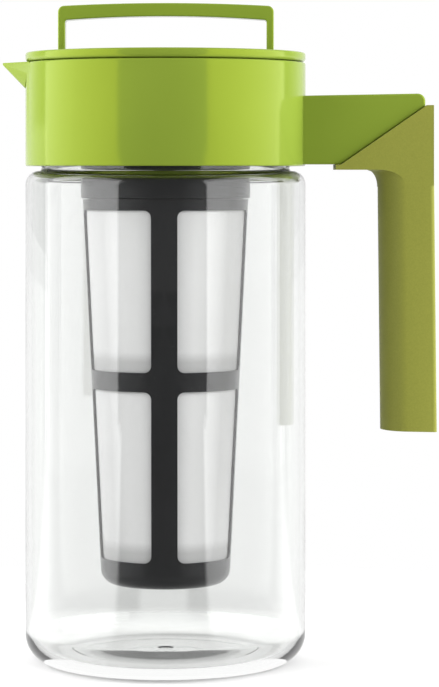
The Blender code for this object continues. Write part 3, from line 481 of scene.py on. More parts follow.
def grip_plan(inset, lean, growth=0):
    """Plan of the grip, drawn in by an inset; growth pushes its nose towards the jug."""
    half_width = GRIP_HALF_WIDTH - inset
    outer = GRIP_OUTER - inset + lean
    nose = GRIP_NOSE + growth - inset
    corner_round = GRIP_CORNER_ROUND
    plan = arc((outer - corner_round, -half_width + corner_round), corner_round, -90, 0, 4)
    plan += arc((outer - corner_round, half_width - corner_round), corner_round, 0, 90, 4)
    for x, y in arc((0, 0), 1, 90, 270, 32):
        plan.append((GRIP_FLAT_START + lean + nose * x, half_width * y))
    return plan


def grip_column(name, inset, lift, top):
    """The leaning column between its sloping underside and a flat top."""
    depth = GRIP_OUTER - GRIP_FLAT_START + GRIP_NOSE
    corners = [(x, y, top) for x, y in grip_plan(inset, 0)]
    for x, y in grip_plan(inset, GRIP_LEAN):
        slope = GRIP_BOTTOM_SLOPE * (GRIP_OUTER + GRIP_LEAN - x) / depth
        corners.append((x, y, GRIP_BOTTOM + slope + lift))
    return hull(name, corners)


core = grip_column("core", SLEEVE_WALL, SLEEVE_WALL, CORE_TOP)
combine(collar, core, "UNION")
bore = turned(
    "bore",
    [
        (0, COLLAR_TOP + OVERRUN),
        (BORE_RADIUS, COLLAR_TOP + OVERRUN),
        (BORE_RADIUS, NECK_SEAL_HEIGHT + SEAL_GROOVE_HALF),
        (SEAL_GROOVE_RADIUS, NECK_SEAL_HEIGHT + SEAL_GROOVE_HALF),
        (SEAL_GROOVE_RADIUS, NECK_SEAL_HEIGHT - SEAL_GROOVE_HALF),
        (BORE_RADIUS, NECK_SEAL_HEIGHT - SEAL_GROOVE_HALF),
        (BORE_RADIUS, BEAD_HEIGHT + BEAD_GROOVE_HALF),
        (BEAD_GROOVE_RADIUS, BEAD_HEIGHT + BEAD_GROOVE_HALF),
        (BEAD_GROOVE_RADIUS, BEAD_HEIGHT - BEAD_GROOVE_HALF),
        (BORE_RADIUS, BEAD_HEIGHT - BEAD_GROOVE_HALF),
        (BORE_RADIUS, COLLAR_BOTTOM - OVERRUN),
        (0, COLLAR_BOTTOM - OVERRUN),
    ],
)
combine(collar, bore, "DIFFERENCE")
pour_groove = block(
    "pour_groove",
    (-BORE_RADIUS - POUR_GROOVE_DEPTH, -POUR_NOTCH_HALF_WIDTH, NECK_TOP - POUR_NOTCH_DEPTH),
    (-BORE_RADIUS + OVERRUN, POUR_NOTCH_HALF_WIDTH, COLLAR_TOP + OVERRUN),
)
combine(collar, pour_groove, "DIFFERENCE")
combine(collar, hull("trough", spout_corners(SPOUT_WALL, COLLAR_TOP + OVERRUN)), "DIFFERENCE")
smooth(collar)
green = moulded_polypropylene("green_polypropylene", "#7b8f34", "#788c32", "#f4ff10", 0.12)
dress(collar, green, "pitcher", "green_plastic", "collar")


# Grip sleeve
# Olive thermoplastic rubber, moulded to slide over the core from below until its slanted top
# meets the bracket. It stands a little proud there, and its inner side is scooped for fingers.
SLEEVE_UNDERSIDE = 196.7 * MM
SLEEVE_UNDERSIDE_REACH = 80.5 * MM
SLEEVE_SCOOP_HEIGHT = 190.5 * MM
SLEEVE_THROAT_BOTTOM = 189.9 * MM
SLEEVE_COLUMN_TOP = 205.0 * MM
CORE_CLEARANCE = 0.3 * MM


def soft_touch_rubber():
    """Thermoplastic rubber, moulded in a spark-eroded tool: matt and slightly velvety, with a
    fine grain that scatters the light."""
    material, tree = new_material("soft_touch_rubber")
    place = add_node(tree, "ShaderNodeTexCoord").outputs["Object"]
    grain_size = 0.6 * MM
    grain = add_node(tree, "ShaderNodeTexNoise", {
        "Vector": place, "Scale": 1 / grain_size, "Detail": 3.0
    })
    shade = add_node(tree, "ShaderNodeValToRGB", {"Fac": grain})
    shade.color_ramp.elements[0].position = 0.3
    shade.color_ramp.elements[0].color = hex_colour("#80832b")
    shade.color_ramp.elements[1].position = 0.7
    shade.color_ramp.elements[1].color = hex_colour("#878a30")
    bump = add_node(tree, "ShaderNodeBump", {
        "Height": grain, "Strength": 0.25, "Distance": 0.03 * MM
    })
    body = add_node(tree, "ShaderNodeBsdfPrincipled", {
        "Base Color": shade,
        "Roughness": 0.62,
        "IOR": 1.45,
        "Sheen Weight": 0.08,
        "Sheen Roughness": 0.5,
        "Normal": bump,
    })
    add_node(tree, "ShaderNodeOutputMaterial", {"Surface": body})
    return material


tip_top = BRACKET_BOTTOM - SEAM_GAP
tip_seam_reach = SEAM_LOW[0] + (tip_top - SEAM_LOW[1]) / SEAM_SLOPE
outline = [(SEAM_LOW[0], SLEEVE_UNDERSIDE)]
scoop_depth = SLEEVE_UNDERSIDE - SLEEVE_SCOOP_HEIGHT
for x, z in arc((0, 0), 1, 90, 0, 20):
    outline.append((GRIP_FLAT_START - GRIP_NOSE * (1 - x), SLEEVE_SCOOP_HEIGHT + scoop_depth * z))
outline += [(GRIP_OUTER, SLEEVE_SCOOP_HEIGHT), (GRIP_OUTER, SEAM_HIGH[1])]
outline += [SEAM_HIGH, (tip_seam_reach, tip_top), (SEAM_LOW[0], tip_top)]
sleeve = drawn_slab("grip_sleeve_moulding", outline, -GRIP_HALF_WIDTH, GRIP_HALF_WIDTH)
throat_steps = 10
throat_growth = GRIP_FLAT_START - GRIP_NOSE - SLEEVE_UNDERSIDE_REACH
for step in range(throat_steps):
    levels = []
    for share in (step / throat_steps, (step + 1) / throat_steps):
        growth = throat_growth * (1 - math.sqrt(max(0, 1 - share**2)))
        rise = (SLEEVE_UNDERSIDE - SLEEVE_THROAT_BOTTOM) * share
        levels.append((growth, SLEEVE_THROAT_BOTTOM + rise))
    corners = [(x, y, height) for growth, height in levels for x, y in grip_plan(0, 0, growth)]
    combine(sleeve, hull("throat", corners), "UNION")
combine(sleeve, grip_column("column", 0, 0, SLEEVE_COLUMN_TOP), "UNION")
hollow_inset = SLEEVE_WALL - CORE_CLEARANCE
combine(sleeve, grip_column("hollow", hollow_inset, hollow_inset, COLLAR_TOP), "DIFFERENCE")
smooth(sleeve)
dress(sleeve, soft_touch_rubber(), "pitcher", "olive_rubber", "grip_sleeve")


# Lid cover
# Green polypropylene like the collar: a rim that rests on the collar, a dish for the folded
# handle, bosses for its pins, and a hub below whose flange the seal is squeezed against.
lid_low, lid_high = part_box("lid_cover")
LID_TOP = lid_high.z
LID_RIM_BOTTOM = 239.7 * MM
LID_UNDER_ROUND = 1.4 * MM
LID_TOP_ROUND = 0.8 * MM
DISH_RADIUS = 46.8 * MM
DISH_FLOOR = 232.0 * MM
DISH_UNDERSIDE = 229.7 * MM
DISH_FILLET = 1.5 * MM
SKIRT_RADIUS = 49.7 * MM
HUB_RADIUS = 44.6 * MM
HUB_INNER = 42.4 * MM
FLANGE_RADIUS = 46.5 * MM
FLANGE_TOP = 219.5 * MM
FLANGE_BOTTOM = lid_low.z
PIVOT = frame["joints"][1]["pos_m"]
PIN_HOLE_RADIUS = 1.55 * MM
BOSS_INNER = 29.6 * MM
BOSS_OUTER = 33.3 * MM
BOSS_HALF_WIDTH = 3.5 * MM
BOSS_TOP = 241.0 * MM
BOSS_ROOT = 1.25 * MM
BOSS_ROUND = 0.5 * MM
SLOT_LOW = (33.4 * MM, 5.6 * MM)
SLOT_HIGH = (38.6 * MM, 16.8 * MM)


def cross_rod(name, radius, start, end, centre, sides=48):
    """A round rod along X between two places, with its middle at a given Y and Z."""
    bpy.ops.object.select_all(action="DESELECT")
    bpy.ops.mesh.primitive_cylinder_add(
        vertices=sides,
        radius=radius,
        depth=abs(end - start),
        location=((start + end) / 2, centre[0], centre[1]),
        rotation=(0, math.pi / 2, 0),
    )
    piece = bpy.context.object
    piece.name = name
    bpy.ops.object.transform_apply(location=True, rotation=True, scale=True)
    return piece


def side_block(name, low, high, side, rounding=0):
    """A box on the +X side, or its mirror image on the -X side."""
    if side > 0:
        return block(name, low, high, rounding)
    return block(name, (-high[0], low[1], low[2]), (-low[0], high[1], high[2]), rounding)


rim = COLLAR_RADIUS - LID_UNDER_ROUND
crown = COLLAR_RADIUS - LID_TOP_ROUND
fillet = (DISH_RADIUS - DISH_FILLET, DISH_FLOOR + DISH_FILLET)
profile = [(0, DISH_FLOOR)] + arc(fillet, DISH_FILLET, -90, 0, 5)
profile += arc((DISH_RADIUS + LID_TOP_ROUND, LID_TOP - LID_TOP_ROUND), LID_TOP_ROUND, 180, 90, 5)
profile += arc((crown, LID_TOP - LID_TOP_ROUND), LID_TOP_ROUND, 90, 0, 5)
profile += arc((rim, LID_RIM_BOTTOM + LID_UNDER_ROUND), LID_UNDER_ROUND, 0, -90, 6)
profile += [(SKIRT_RADIUS, LID_RIM_BOTTOM), (SKIRT_RADIUS, DISH_UNDERSIDE)]
profile += [(HUB_RADIUS, DISH_UNDERSIDE), (HUB_RADIUS, FLANGE_TOP)]
profile += [(FLANGE_RADIUS, FLANGE_TOP), (FLANGE_RADIUS, FLANGE_BOTTOM)]
profile += [(HUB_INNER, FLANGE_BOTTOM), (HUB_INNER, DISH_UNDERSIDE), (0, DISH_UNDERSIDE)]
lid = turned("lid_moulding", profile)
for side in (-1, 1):
    boss_low = (BOSS_INNER, PIVOT[1] - BOSS_HALF_WIDTH, DISH_UNDERSIDE + BOSS_ROOT)
    boss_high = (BOSS_OUTER, PIVOT[1] + BOSS_HALF_WIDTH, BOSS_TOP)
    combine(lid, side_block("pin_boss", boss_low, boss_high, side, BOSS_ROUND), "UNION")
    slot_low = (*SLOT_LOW, DISH_UNDERSIDE - OVERRUN)
    slot_high = (*SLOT_HIGH, DISH_FLOOR + OVERRUN)
    combine(lid, side_block("tower_slot", slot_low, slot_high, side), "DIFFERENCE")
    hole_start = side * (BOSS_INNER - OVERRUN)
    hole_end = side * (SKIRT_RADIUS + OVERRUN)
    hole = cross_rod("pin_hole", PIN_HOLE_RADIUS, hole_start, hole_end, PIVOT[1:])
    combine(lid, hole, "DIFFERENCE")
smooth(lid)
dress(lid, green, "lid", "green_plastic", "lid_cover")


# Pivot pins
# Two ground stainless steel dowels, pressed in from the skirt, that the lid handle turns on.
# Their ends are chamfered so that they go in without scraping.
PIN_RADIUS = 1.25 * MM
PIN_CHAMFER = 0.25 * MM


def ground_steel():
    """Stainless steel, centreless ground: fine grinding lines run round each pin."""
    material, tree = new_material("ground_steel")
    place = add_node(tree, "ShaderNodeTexCoord").outputs["Object"]
    line_width = 0.15 * MM
    line_length = 4 * MM
    stretch = add_node(tree, "ShaderNodeMapping", {
        "Vector": place, "Scale": (1 / line_width, 1 / line_length, 1 / line_length)
    })
    lines = add_node(tree, "ShaderNodeTexNoise", {"Vector": stretch, "Scale": 1.0})
    rough = add_node(tree, "ShaderNodeMapRange", {"Value": lines, "To Min": 0.18, "To Max": 0.34})
    body = add_node(tree, "ShaderNodeBsdfPrincipled", {
        "Base Color": hex_colour("#c9c9c8"), "Metallic": 1.0, "Roughness": rough
    })
    add_node(tree, "ShaderNodeOutputMaterial", {"Surface": body})
    return material


steel = ground_steel()
for node in ("pivot_pin_left", "pivot_pin_right"):
    pin_low, pin_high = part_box(node)
    pin = cross_rod(node + "_dowel", PIN_RADIUS, pin_low.x, pin_high.x, PIVOT[1:], 32)
    round_edges(pin, PIN_CHAMFER, 1, 60)
    smooth(pin)
    dress(pin, steel, "lid", "pin_steel", node)


# Lid gasket
# A silicone ring with two sealing ribs round its outside. When the handle is folded down, the
# plug rises and squeezes it between itself and the flange, and it swells against the neck.
gasket_low, gasket_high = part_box("lid_gasket")
GASKET_RIB_DEPTH = 0.9 * MM
GASKET_RIBS = 2


def gasket_side():
    """Radii and heights down the ribbed outside of the gasket."""
    points = []
    steps = 24
    for step in range(steps + 1):
        share = step / steps
        wave = math.sin(math.pi * GASKET_RIBS * share) ** 2
        height = gasket_high.z + (gasket_low.z - gasket_high.z) * share
        points.append((gasket_high.x - GASKET_RIB_DEPTH * (1 - wave), height))
    return points


gasket = turned(
    "gasket_ring",
    gasket_side() + [(HUB_INNER, gasket_low.z), (HUB_INNER, gasket_high.z)],
    closed=True,
)
dress(gasket, silicone, "lid", "pale_silicone", "lid_gasket")
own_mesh(gasket)


# Seal plug
# Green polypropylene: the disc under the gasket, two towers that the handle's cams lift, and
# a spigot whose three lugs carry the basket.
plug_low, plug_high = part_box("lid_plug")
PLUG_RADIUS = 46.3 * MM
PLUG_TOP = 210.9 * MM
PLUG_BOTTOM = 208.2 * MM
PLUG_EDGE_ROUND = 0.6 * MM
SPIGOT_RADIUS = 28.6 * MM
SPIGOT_INNER = 26.4 * MM
SPIGOT_BOTTOM = plug_low.z
LUGS = 3
LUG_REACH = 31.0 * MM
LUG_HALF_WIDTH = 3.7 * MM
LUG_BOTTOM = 201.0 * MM
LUG_TOP = 203.3 * MM
TOWER_LOW = (34.0 * MM, 6.23 * MM)
TOWER_HIGH = (38.0 * MM, 16.22 * MM)
PLUG_PART_ROUND = 0.4 * MM
CAM_RADIUS = 3.4 * MM
CAM_OFFSET = 0.6 * MM
CAM_EYE_HALF_WIDTH = 3.82 * MM
CAM_EYE_HALF_HEIGHT = 3.7 * MM


def turn_round_axis(piece, angle):
    """Turns a piece about the jug's axis."""
    pick(piece)
    piece.rotation_euler.z = angle
    bpy.ops.object.transform_apply(location=True, rotation=True, scale=True)


profile = [(0, PLUG_TOP)] + round_edged(PLUG_RADIUS, PLUG_TOP, PLUG_BOTTOM, PLUG_EDGE_ROUND)
profile += [(SPIGOT_RADIUS, PLUG_BOTTOM), (SPIGOT_RADIUS, SPIGOT_BOTTOM)]
profile += [(SPIGOT_INNER, SPIGOT_BOTTOM), (SPIGOT_INNER, PLUG_BOTTOM), (0, PLUG_BOTTOM)]
plug = turned("plug_moulding", profile)
tower_middle = (TOWER_LOW[1] + TOWER_HIGH[1]) / 2
cam_height = PIVOT[2] - CAM_OFFSET
for side in (-1, 1):
    tower_low = (*TOWER_LOW, (PLUG_TOP + PLUG_BOTTOM) / 2)
    tower_high = (*TOWER_HIGH, plug_high.z)
    combine(plug, side_block("tower", tower_low, tower_high, side, PLUG_PART_ROUND), "UNION")
    eye_sides = (tower_middle - CAM_EYE_HALF_WIDTH, tower_middle + CAM_EYE_HALF_WIDTH)
    eye_low = (TOWER_LOW[0] - OVERRUN, eye_sides[0], cam_height - CAM_EYE_HALF_HEIGHT)
    eye_high = (TOWER_HIGH[0] + OVERRUN, eye_sides[1], cam_height + CAM_EYE_HALF_HEIGHT)
    combine(plug, side_block("cam_eye", eye_low, eye_high, side), "DIFFERENCE")
lug_low = ((SPIGOT_RADIUS + SPIGOT_INNER) / 2, -LUG_HALF_WIDTH, LUG_BOTTOM)
lug_high = (math.sqrt(LUG_REACH**2 - LUG_HALF_WIDTH**2), LUG_HALF_WIDTH, LUG_TOP)
for turn in range(LUGS):
    lug = block("lug", lug_low, lug_high, PLUG_PART_ROUND)
    turn_round_axis(lug, turn * math.tau / LUGS)
    combine(plug, lug, "UNION")
smooth(plug)
dress(plug, green, "seal_plug", "green_plastic", "lid_plug")


# Lid handle
# A green polypropylene strap bent into a low arch. Each leg ends in a round eye for its pin,
# with a cam on the inside that works in the plug's tower.
bail_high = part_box("bail")[1]
BAIL_HALF_SPAN = bail_high.x
BAIL_TOP = bail_high.z
BAIL_HALF_WIDTH = 5.0 * MM
BAIL_LEG = 2.85 * MM
BAIL_ARCH = 1.1 * MM
BAIL_BAR = 5.3 * MM
BAIL_BAR_END = 5.7 * MM
BAIL_CORNER = 2.5 * MM
BAIL_INNER_CORNER = 1.0 * MM
BAIL_EDGE_ROUND = 0.5 * MM
BAIL_ROUNDED_FROM = 40
CAM_INNER = 33.6 * MM


def arch(half_span, end_height, rise, steps=20):
    """Points of a shallow arch from one end of its span to the other."""
    points = []
    for step in range(steps + 1):
        share = 1 - 2 * step / steps
        points.append((half_span * share, end_height + rise * (1 - share**2)))
    return points


bail_inner = BAIL_HALF_SPAN - BAIL_LEG
top_end = BAIL_TOP - BAIL_ARCH
under_end = top_end - BAIL_BAR_END
outer_corner = (BAIL_HALF_SPAN - BAIL_CORNER, top_end - BAIL_CORNER)
inner_corner = (bail_inner - BAIL_INNER_CORNER, under_end - BAIL_INNER_CORNER)
right = arc(outer_corner, BAIL_CORNER, 0, 90, 10)
inner_right = arc(inner_corner, BAIL_INNER_CORNER, 90, 0, 5)
outline = [(BAIL_HALF_SPAN, PIVOT[2])] + right
outline += arch(outer_corner[0], top_end, BAIL_ARCH)[1:-1]
outline += [(-x, z) for x, z in reversed(right)]
outline += [(-BAIL_HALF_SPAN, PIVOT[2]), (-bail_inner, PIVOT[2])]
outline += [(-x, z) for x, z in reversed(inner_right)]
outline += arch(-inner_corner[0], under_end, BAIL_TOP - BAIL_BAR - under_end)[1:-1]
outline += inner_right + [(bail_inner, PIVOT[2])]
strap_sides = (PIVOT[1] - BAIL_HALF_WIDTH, PIVOT[1] + BAIL_HALF_WIDTH)
bail = drawn_slab("lid_handle_strap", outline, *strap_sides)
round_edges(bail, BAIL_EDGE_ROUND, 3, BAIL_ROUNDED_FROM)
for side in (-1, 1):
    eye = cross_rod("eye", BAIL_HALF_WIDTH, side * bail_inner, side * BAIL_HALF_SPAN, PIVOT[1:], 64)
    round_edges(eye, BAIL_EDGE_ROUND, 3, BAIL_ROUNDED_FROM)
    combine(bail, eye, "UNION")
    cam_end = side * (bail_inner + BAIL_HALF_SPAN) / 2
    cam_centre = (PIVOT[1] + CAM_OFFSET, PIVOT[2] - CAM_OFFSET)
    combine(bail, cross_rod("cam", CAM_RADIUS, side * CAM_INNER, cam_end, cam_centre), "UNION")
    hole_start = side * (CAM_INNER - OVERRUN)
    hole_end = side * (BAIL_HALF_SPAN + OVERRUN)
    hole = cross_rod("eye_hole", PIN_HOLE_RADIUS, hole_start, hole_end, PIVOT[1:])
    combine(bail, hole, "DIFFERENCE")
smooth(bail)
dress(bail, green, "lid_handle", "green_plastic", "bail")


# Basket ring
# Dark grey polypropylene: the ring that hangs on the plug's lugs. Three gaps in its inner lip
# let the lugs through, and an eighth of a turn locks them.
ring_low, ring_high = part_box("infuser_ring")
RING_RADIUS = ring_high.x
RING_TOP = ring_high.z
RING_BOTTOM = ring_low.z
RING_INNER = 31.6 * MM
RING_EDGE_ROUND = 0.5 * MM
LIP_BOTTOM = 203.6 * MM
LIP_RADIUS = 29.2 * MM
LIP_GAP_HALF_WIDTH = 5.2 * MM
LOCKING_TURN = math.radians(45)

profile = round_edged(RING_RADIUS, RING_TOP, RING_BOTTOM, RING_EDGE_ROUND)
profile += [(RING_INNER, RING_BOTTOM), (RING_INNER, LIP_BOTTOM), (LIP_RADIUS, LIP_BOTTOM)]
profile += [(LIP_RADIUS, RING_TOP)]
ring = turned("basket_ring", profile, closed=True)
gap_end = math.sqrt(RING_INNER**2 - LIP_GAP_HALF_WIDTH**2)
gap_low = (SPIGOT_INNER, -LIP_GAP_HALF_WIDTH, LIP_BOTTOM - OVERRUN)
gap_high = (gap_end, LIP_GAP_HALF_WIDTH, RING_TOP + OVERRUN)
for turn in range(LUGS):
    gap = block("lip_gap", gap_low, gap_high)
    turn_round_axis(gap, LOCKING_TURN + turn * math.tau / LUGS)
    combine(ring, gap, "DIFFERENCE")
smooth(ring)
dark = moulded_polypropylene("dark_polypropylene", "#282829", "#252526", "#8a8a8a", 0.30)
dress(ring, dark, "basket", "dark_plastic", "infuser_ring")


# Basket frame
# Dark grey polypropylene, moulded round the mesh: a tapered tube with two rows of four
# windows, a closed floor, and a neck that is pressed up into the ring.
frame_low, frame_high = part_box("infuser_frame")
FRAME_BOTTOM = frame_low.z
FRAME_TOP_RADIUS = frame_high.x
FRAME_NECK_TOP = frame_high.z
FRAME_LOW_RADIUS = 25.9 * MM
FRAME_SHOULDER = 185.2 * MM
FRAME_ROUND = 6.0 * MM
FRAME_WALL = 2.7 * MM
FRAME_FLOOR = 2.5 * MM
FRAME_NECK_RADIUS = 31.3 * MM
FRAME_NECK_INNER = 28.9 * MM
FRAME_TAPER_TOP = 183.0 * MM
RIB_HALF_WIDTH = 5.1 * MM
WINDOW_ROUND = 2.8 * MM
WINDOW_ROWS = {"upper": (117.3 * MM, 180.8 * MM), "lower": (42.3 * MM, 109.7 * MM)}
MESH_SEAT = 1.2 * MM
MESH_THICKNESS = 0.5 * MM
MESH_CLEARANCE = 0.3 * MM


def frame_radius(height):
    """Outer radius of the tapered basket at a height."""
    low = FRAME_BOTTOM + FRAME_ROUND
    share = (height - low) / (FRAME_SHOULDER - low)
    return FRAME_LOW_RADIUS + (FRAME_TOP_RADIUS - FRAME_LOW_RADIUS) * share


def middle_shell(name, low, high, thickness):
    """A thin tapered tube in the middle of the basket's wall."""
    profile = []
    for offset, heights in ((thickness / 2, (high, low)), (-thickness / 2, (low, high))):
        for height in heights:
            profile.append((frame_radius(height) - FRAME_WALL / 2 + offset, height))
    return turned(name, profile, closed=True)


def quarter_block(name, start, low, high, quarter, rounding=0):
    """A box in one quarter of the plan, its near sides a set distance from the middle lines."""
    far = FRAME_TOP_RADIUS + OVERRUN
    piece = block(name, (start, start, low), (far, far, high), rounding, 6)
    turn_round_axis(piece, quarter * math.pi / 2)
    return piece


def window_panel(name, row, quarter, margin, thickness):
    """A thin plate in one window, whose margin goes into the frame all round."""
    low, high = WINDOW_ROWS[row]
    panel = middle_shell(name, low - margin, high + margin, thickness)
    part = quarter_block("part", RIB_HALF_WIDTH - margin, low - OVERRUN, high + OVERRUN, quarter)
    combine(panel, part, "INTERSECT")
    return panel


inner_round = FRAME_ROUND - FRAME_WALL
floor_top = FRAME_BOTTOM + FRAME_FLOOR
corner_radius = frame_radius(floor_top + inner_round) - FRAME_WALL - inner_round
profile = [(0, floor_top)] + arc((corner_radius, floor_top + inner_round), inner_round, -90, 0, 8)
profile += [(frame_radius(FRAME_TAPER_TOP) - FRAME_WALL, FRAME_TAPER_TOP)]
profile += [(FRAME_NECK_INNER, FRAME_SHOULDER), (FRAME_NECK_INNER, FRAME_NECK_TOP)]
profile += [(FRAME_NECK_RADIUS, FRAME_NECK_TOP), (FRAME_NECK_RADIUS, FRAME_SHOULDER)]
profile += [(FRAME_TOP_RADIUS, FRAME_SHOULDER)]
low_corner = (FRAME_LOW_RADIUS - FRAME_ROUND, FRAME_BOTTOM + FRAME_ROUND)
profile += arc(low_corner, FRAME_ROUND, 0, -90, 12)
profile += [(0, FRAME_BOTTOM)]
basket = turned("basket_frame", profile)
seat = MESH_SEAT + MESH_CLEARANCE
groove_width = MESH_THICKNESS + 2 * MESH_CLEARANCE
for row, (low, high) in WINDOW_ROWS.items():
    for quarter in range(4):
        window = quarter_block("window", RIB_HALF_WIDTH, low, high, quarter, WINDOW_ROUND)
        combine(basket, window, "DIFFERENCE")
        combine(basket, window_panel("groove", row, quarter, seat, groove_width), "DIFFERENCE")
smooth(basket)
dress(basket, dark, "basket", "dark_plastic", "infuser_frame")


# Mesh panels
# Woven nylon filter cloth, off-white, held in grooves all round each window. The threads are
# too fine for the eye at this distance, so they are drawn a little coarser than they are.
THREAD_SPACING = 0.42 * MM
CLOTH_RADIUS = 28 * MM
# Painted shade: the cloth's colour darkens over the lowest few millimetres of each window row.
PAINTED_SILL_SHADE_START = 4 * MM
PAINTED_SILL_SHADE_END = 8 * MM
PAINTED_SILL_SHADE = 0.70


def woven_nylon():
    """Nylon monofilament cloth, plain weave: crossing threads with small open squares that
    let some light and sight through. Its off-white has painted shade in it: darker where the
    cloth is seen aslant, and darker just above the bottom of each window row."""
    material, tree = new_material("woven_nylon")
    place = add_node(tree, "ShaderNodeTexCoord").outputs["Object"]
    parts = add_node(tree, "ShaderNodeSeparateXYZ", {"Vector": place})
    angle = add_node(tree, "ShaderNodeMath", {
        0: parts.outputs["Y"], 1: parts.outputs["X"]
    }, operation="ARCTAN2")
    round_the_basket = add_node(tree, "ShaderNodeMath", {
        0: angle, 1: CLOTH_RADIUS
    }, operation="MULTIPLY")
    threads = []
    for direction in (round_the_basket, parts.outputs["Z"]):
        phase = add_node(tree, "ShaderNodeMath", {
            0: direction, 1: math.tau / THREAD_SPACING
        }, operation="MULTIPLY")
        wave = add_node(tree, "ShaderNodeMath", {0: phase}, operation="COSINE")
        threads.append(wave)
    either = add_node(tree, "ShaderNodeMath", {0: threads[0], 1: threads[1]}, operation="MAXIMUM")
    cover = add_node(tree, "ShaderNodeMapRange", {
        "Value": either, "From Min": -0.9, "From Max": -0.2, "To Min": 0.75, "To Max": 0.97
    })
    bump = add_node(tree, "ShaderNodeBump", {
        "Height": either, "Strength": 0.3, "Distance": 0.05 * MM
    })
    # Painted shade: the cloth's colour darkens where it is seen aslant, towards the basket's sides.
    slant = add_node(tree, "ShaderNodeLayerWeight", {"Blend": 0.5})
    painted_shade_aslant = add_node(tree, "ShaderNodeMapRange", {
        "Value": slant.outputs["Facing"],
        "From Min": 0.08,
        "From Max": 0.40,
        "To Min": 0.85,
        "To Max": 0.50,
    })
    # Painted shade, darker just above the bottom of each window row.
    lower_sill = WINDOW_ROWS["lower"][0]
    upper_sill = WINDOW_ROWS["upper"][0]
    row_height = add_node(tree, "ShaderNodeMath", {
        0: parts.outputs["Z"], 1: upper_sill, 2: lower_sill
    }, operation="WRAP")
    painted_sill_shade = add_node(tree, "ShaderNodeMapRange", {
        "Value": row_height,
        "From Min": lower_sill + PAINTED_SILL_SHADE_START,
        "From Max": lower_sill + PAINTED_SILL_SHADE_END,
        "To Min": PAINTED_SILL_SHADE,
        "To Max": 1.0,
    })
    # The cloth's colour with both painted shades multiplied in.
    off_white_with_painted_shade = add_node(tree, "ShaderNodeMath", {
        0: painted_shade_aslant, 1: painted_sill_shade
    }, operation="MULTIPLY")
    body = add_node(tree, "ShaderNodeBsdfPrincipled", {
        "Base Color": off_white_with_painted_shade, "Roughness": 0.55, "IOR": 1.53, "Alpha": cover, "Normal": bump
    })
    glow = add_node(tree, "ShaderNodeBsdfTranslucent", {"Color": off_white_with_painted_shade})
    see = add_node(tree, "ShaderNodeMixShader", {0: 0.25, 1: body, 2: glow})
    add_node(tree, "ShaderNodeOutputMaterial", {"Surface": see})
    return material


nylon = woven_nylon()
for row in WINDOW_ROWS:
    for quarter in range(4):
        name = f"cloth_{row}_{quarter + 1}"
        panel = window_panel(name, row, quarter, MESH_SEAT, MESH_THICKNESS)
        smooth(panel)
        dress(panel, nylon, "basket", "white_mesh", f"mesh_{row}_{quarter + 1}")


# Floor
# A matt white table top that keeps the soft shadow under the jug and fades into the white room
# round it. Its shine in the jug is bright at the sides, dark in front and even close by, and
# there is none from behind the softboxes, because a lamp hides nothing that lies behind it.
SHADOW_REACH = 0.12
TABLE_FADE_END = 0.30
TABLE_SIZE = 60
TABLE_GLOW = 0.04
SOFT_SHINE = 0.8
SIDE_SHINE = 2.1
FRONT_SHINE = 0.05
FRONT_SLOPE = 0.66
FRONT_TURN = -0.04
FRONT_BLUR = 0.01
BACK_SHINE = 1.0
BACK_SLOPE = -2.5
BACK_BLUR = 0.1
BEHIND_BOX = 0.80
NEAR_JUG = 0.09
NEAR_JUG_END = 0.20
NEAR_SHINE = 1.0


def seen_straight(tree, path):
    """Is 1 for the camera's own rays, also after clear walls, and 0 after any reflection."""
    depths = {0: path.outputs["Diffuse Depth"], 1: path.outputs["Glossy Depth"]}
    bounces = add_node(tree, "ShaderNodeMath", depths, operation="ADD")
    return add_node(tree, "ShaderNodeMath", {0: bounces, 1: 0.5}, operation="LESS_THAN")


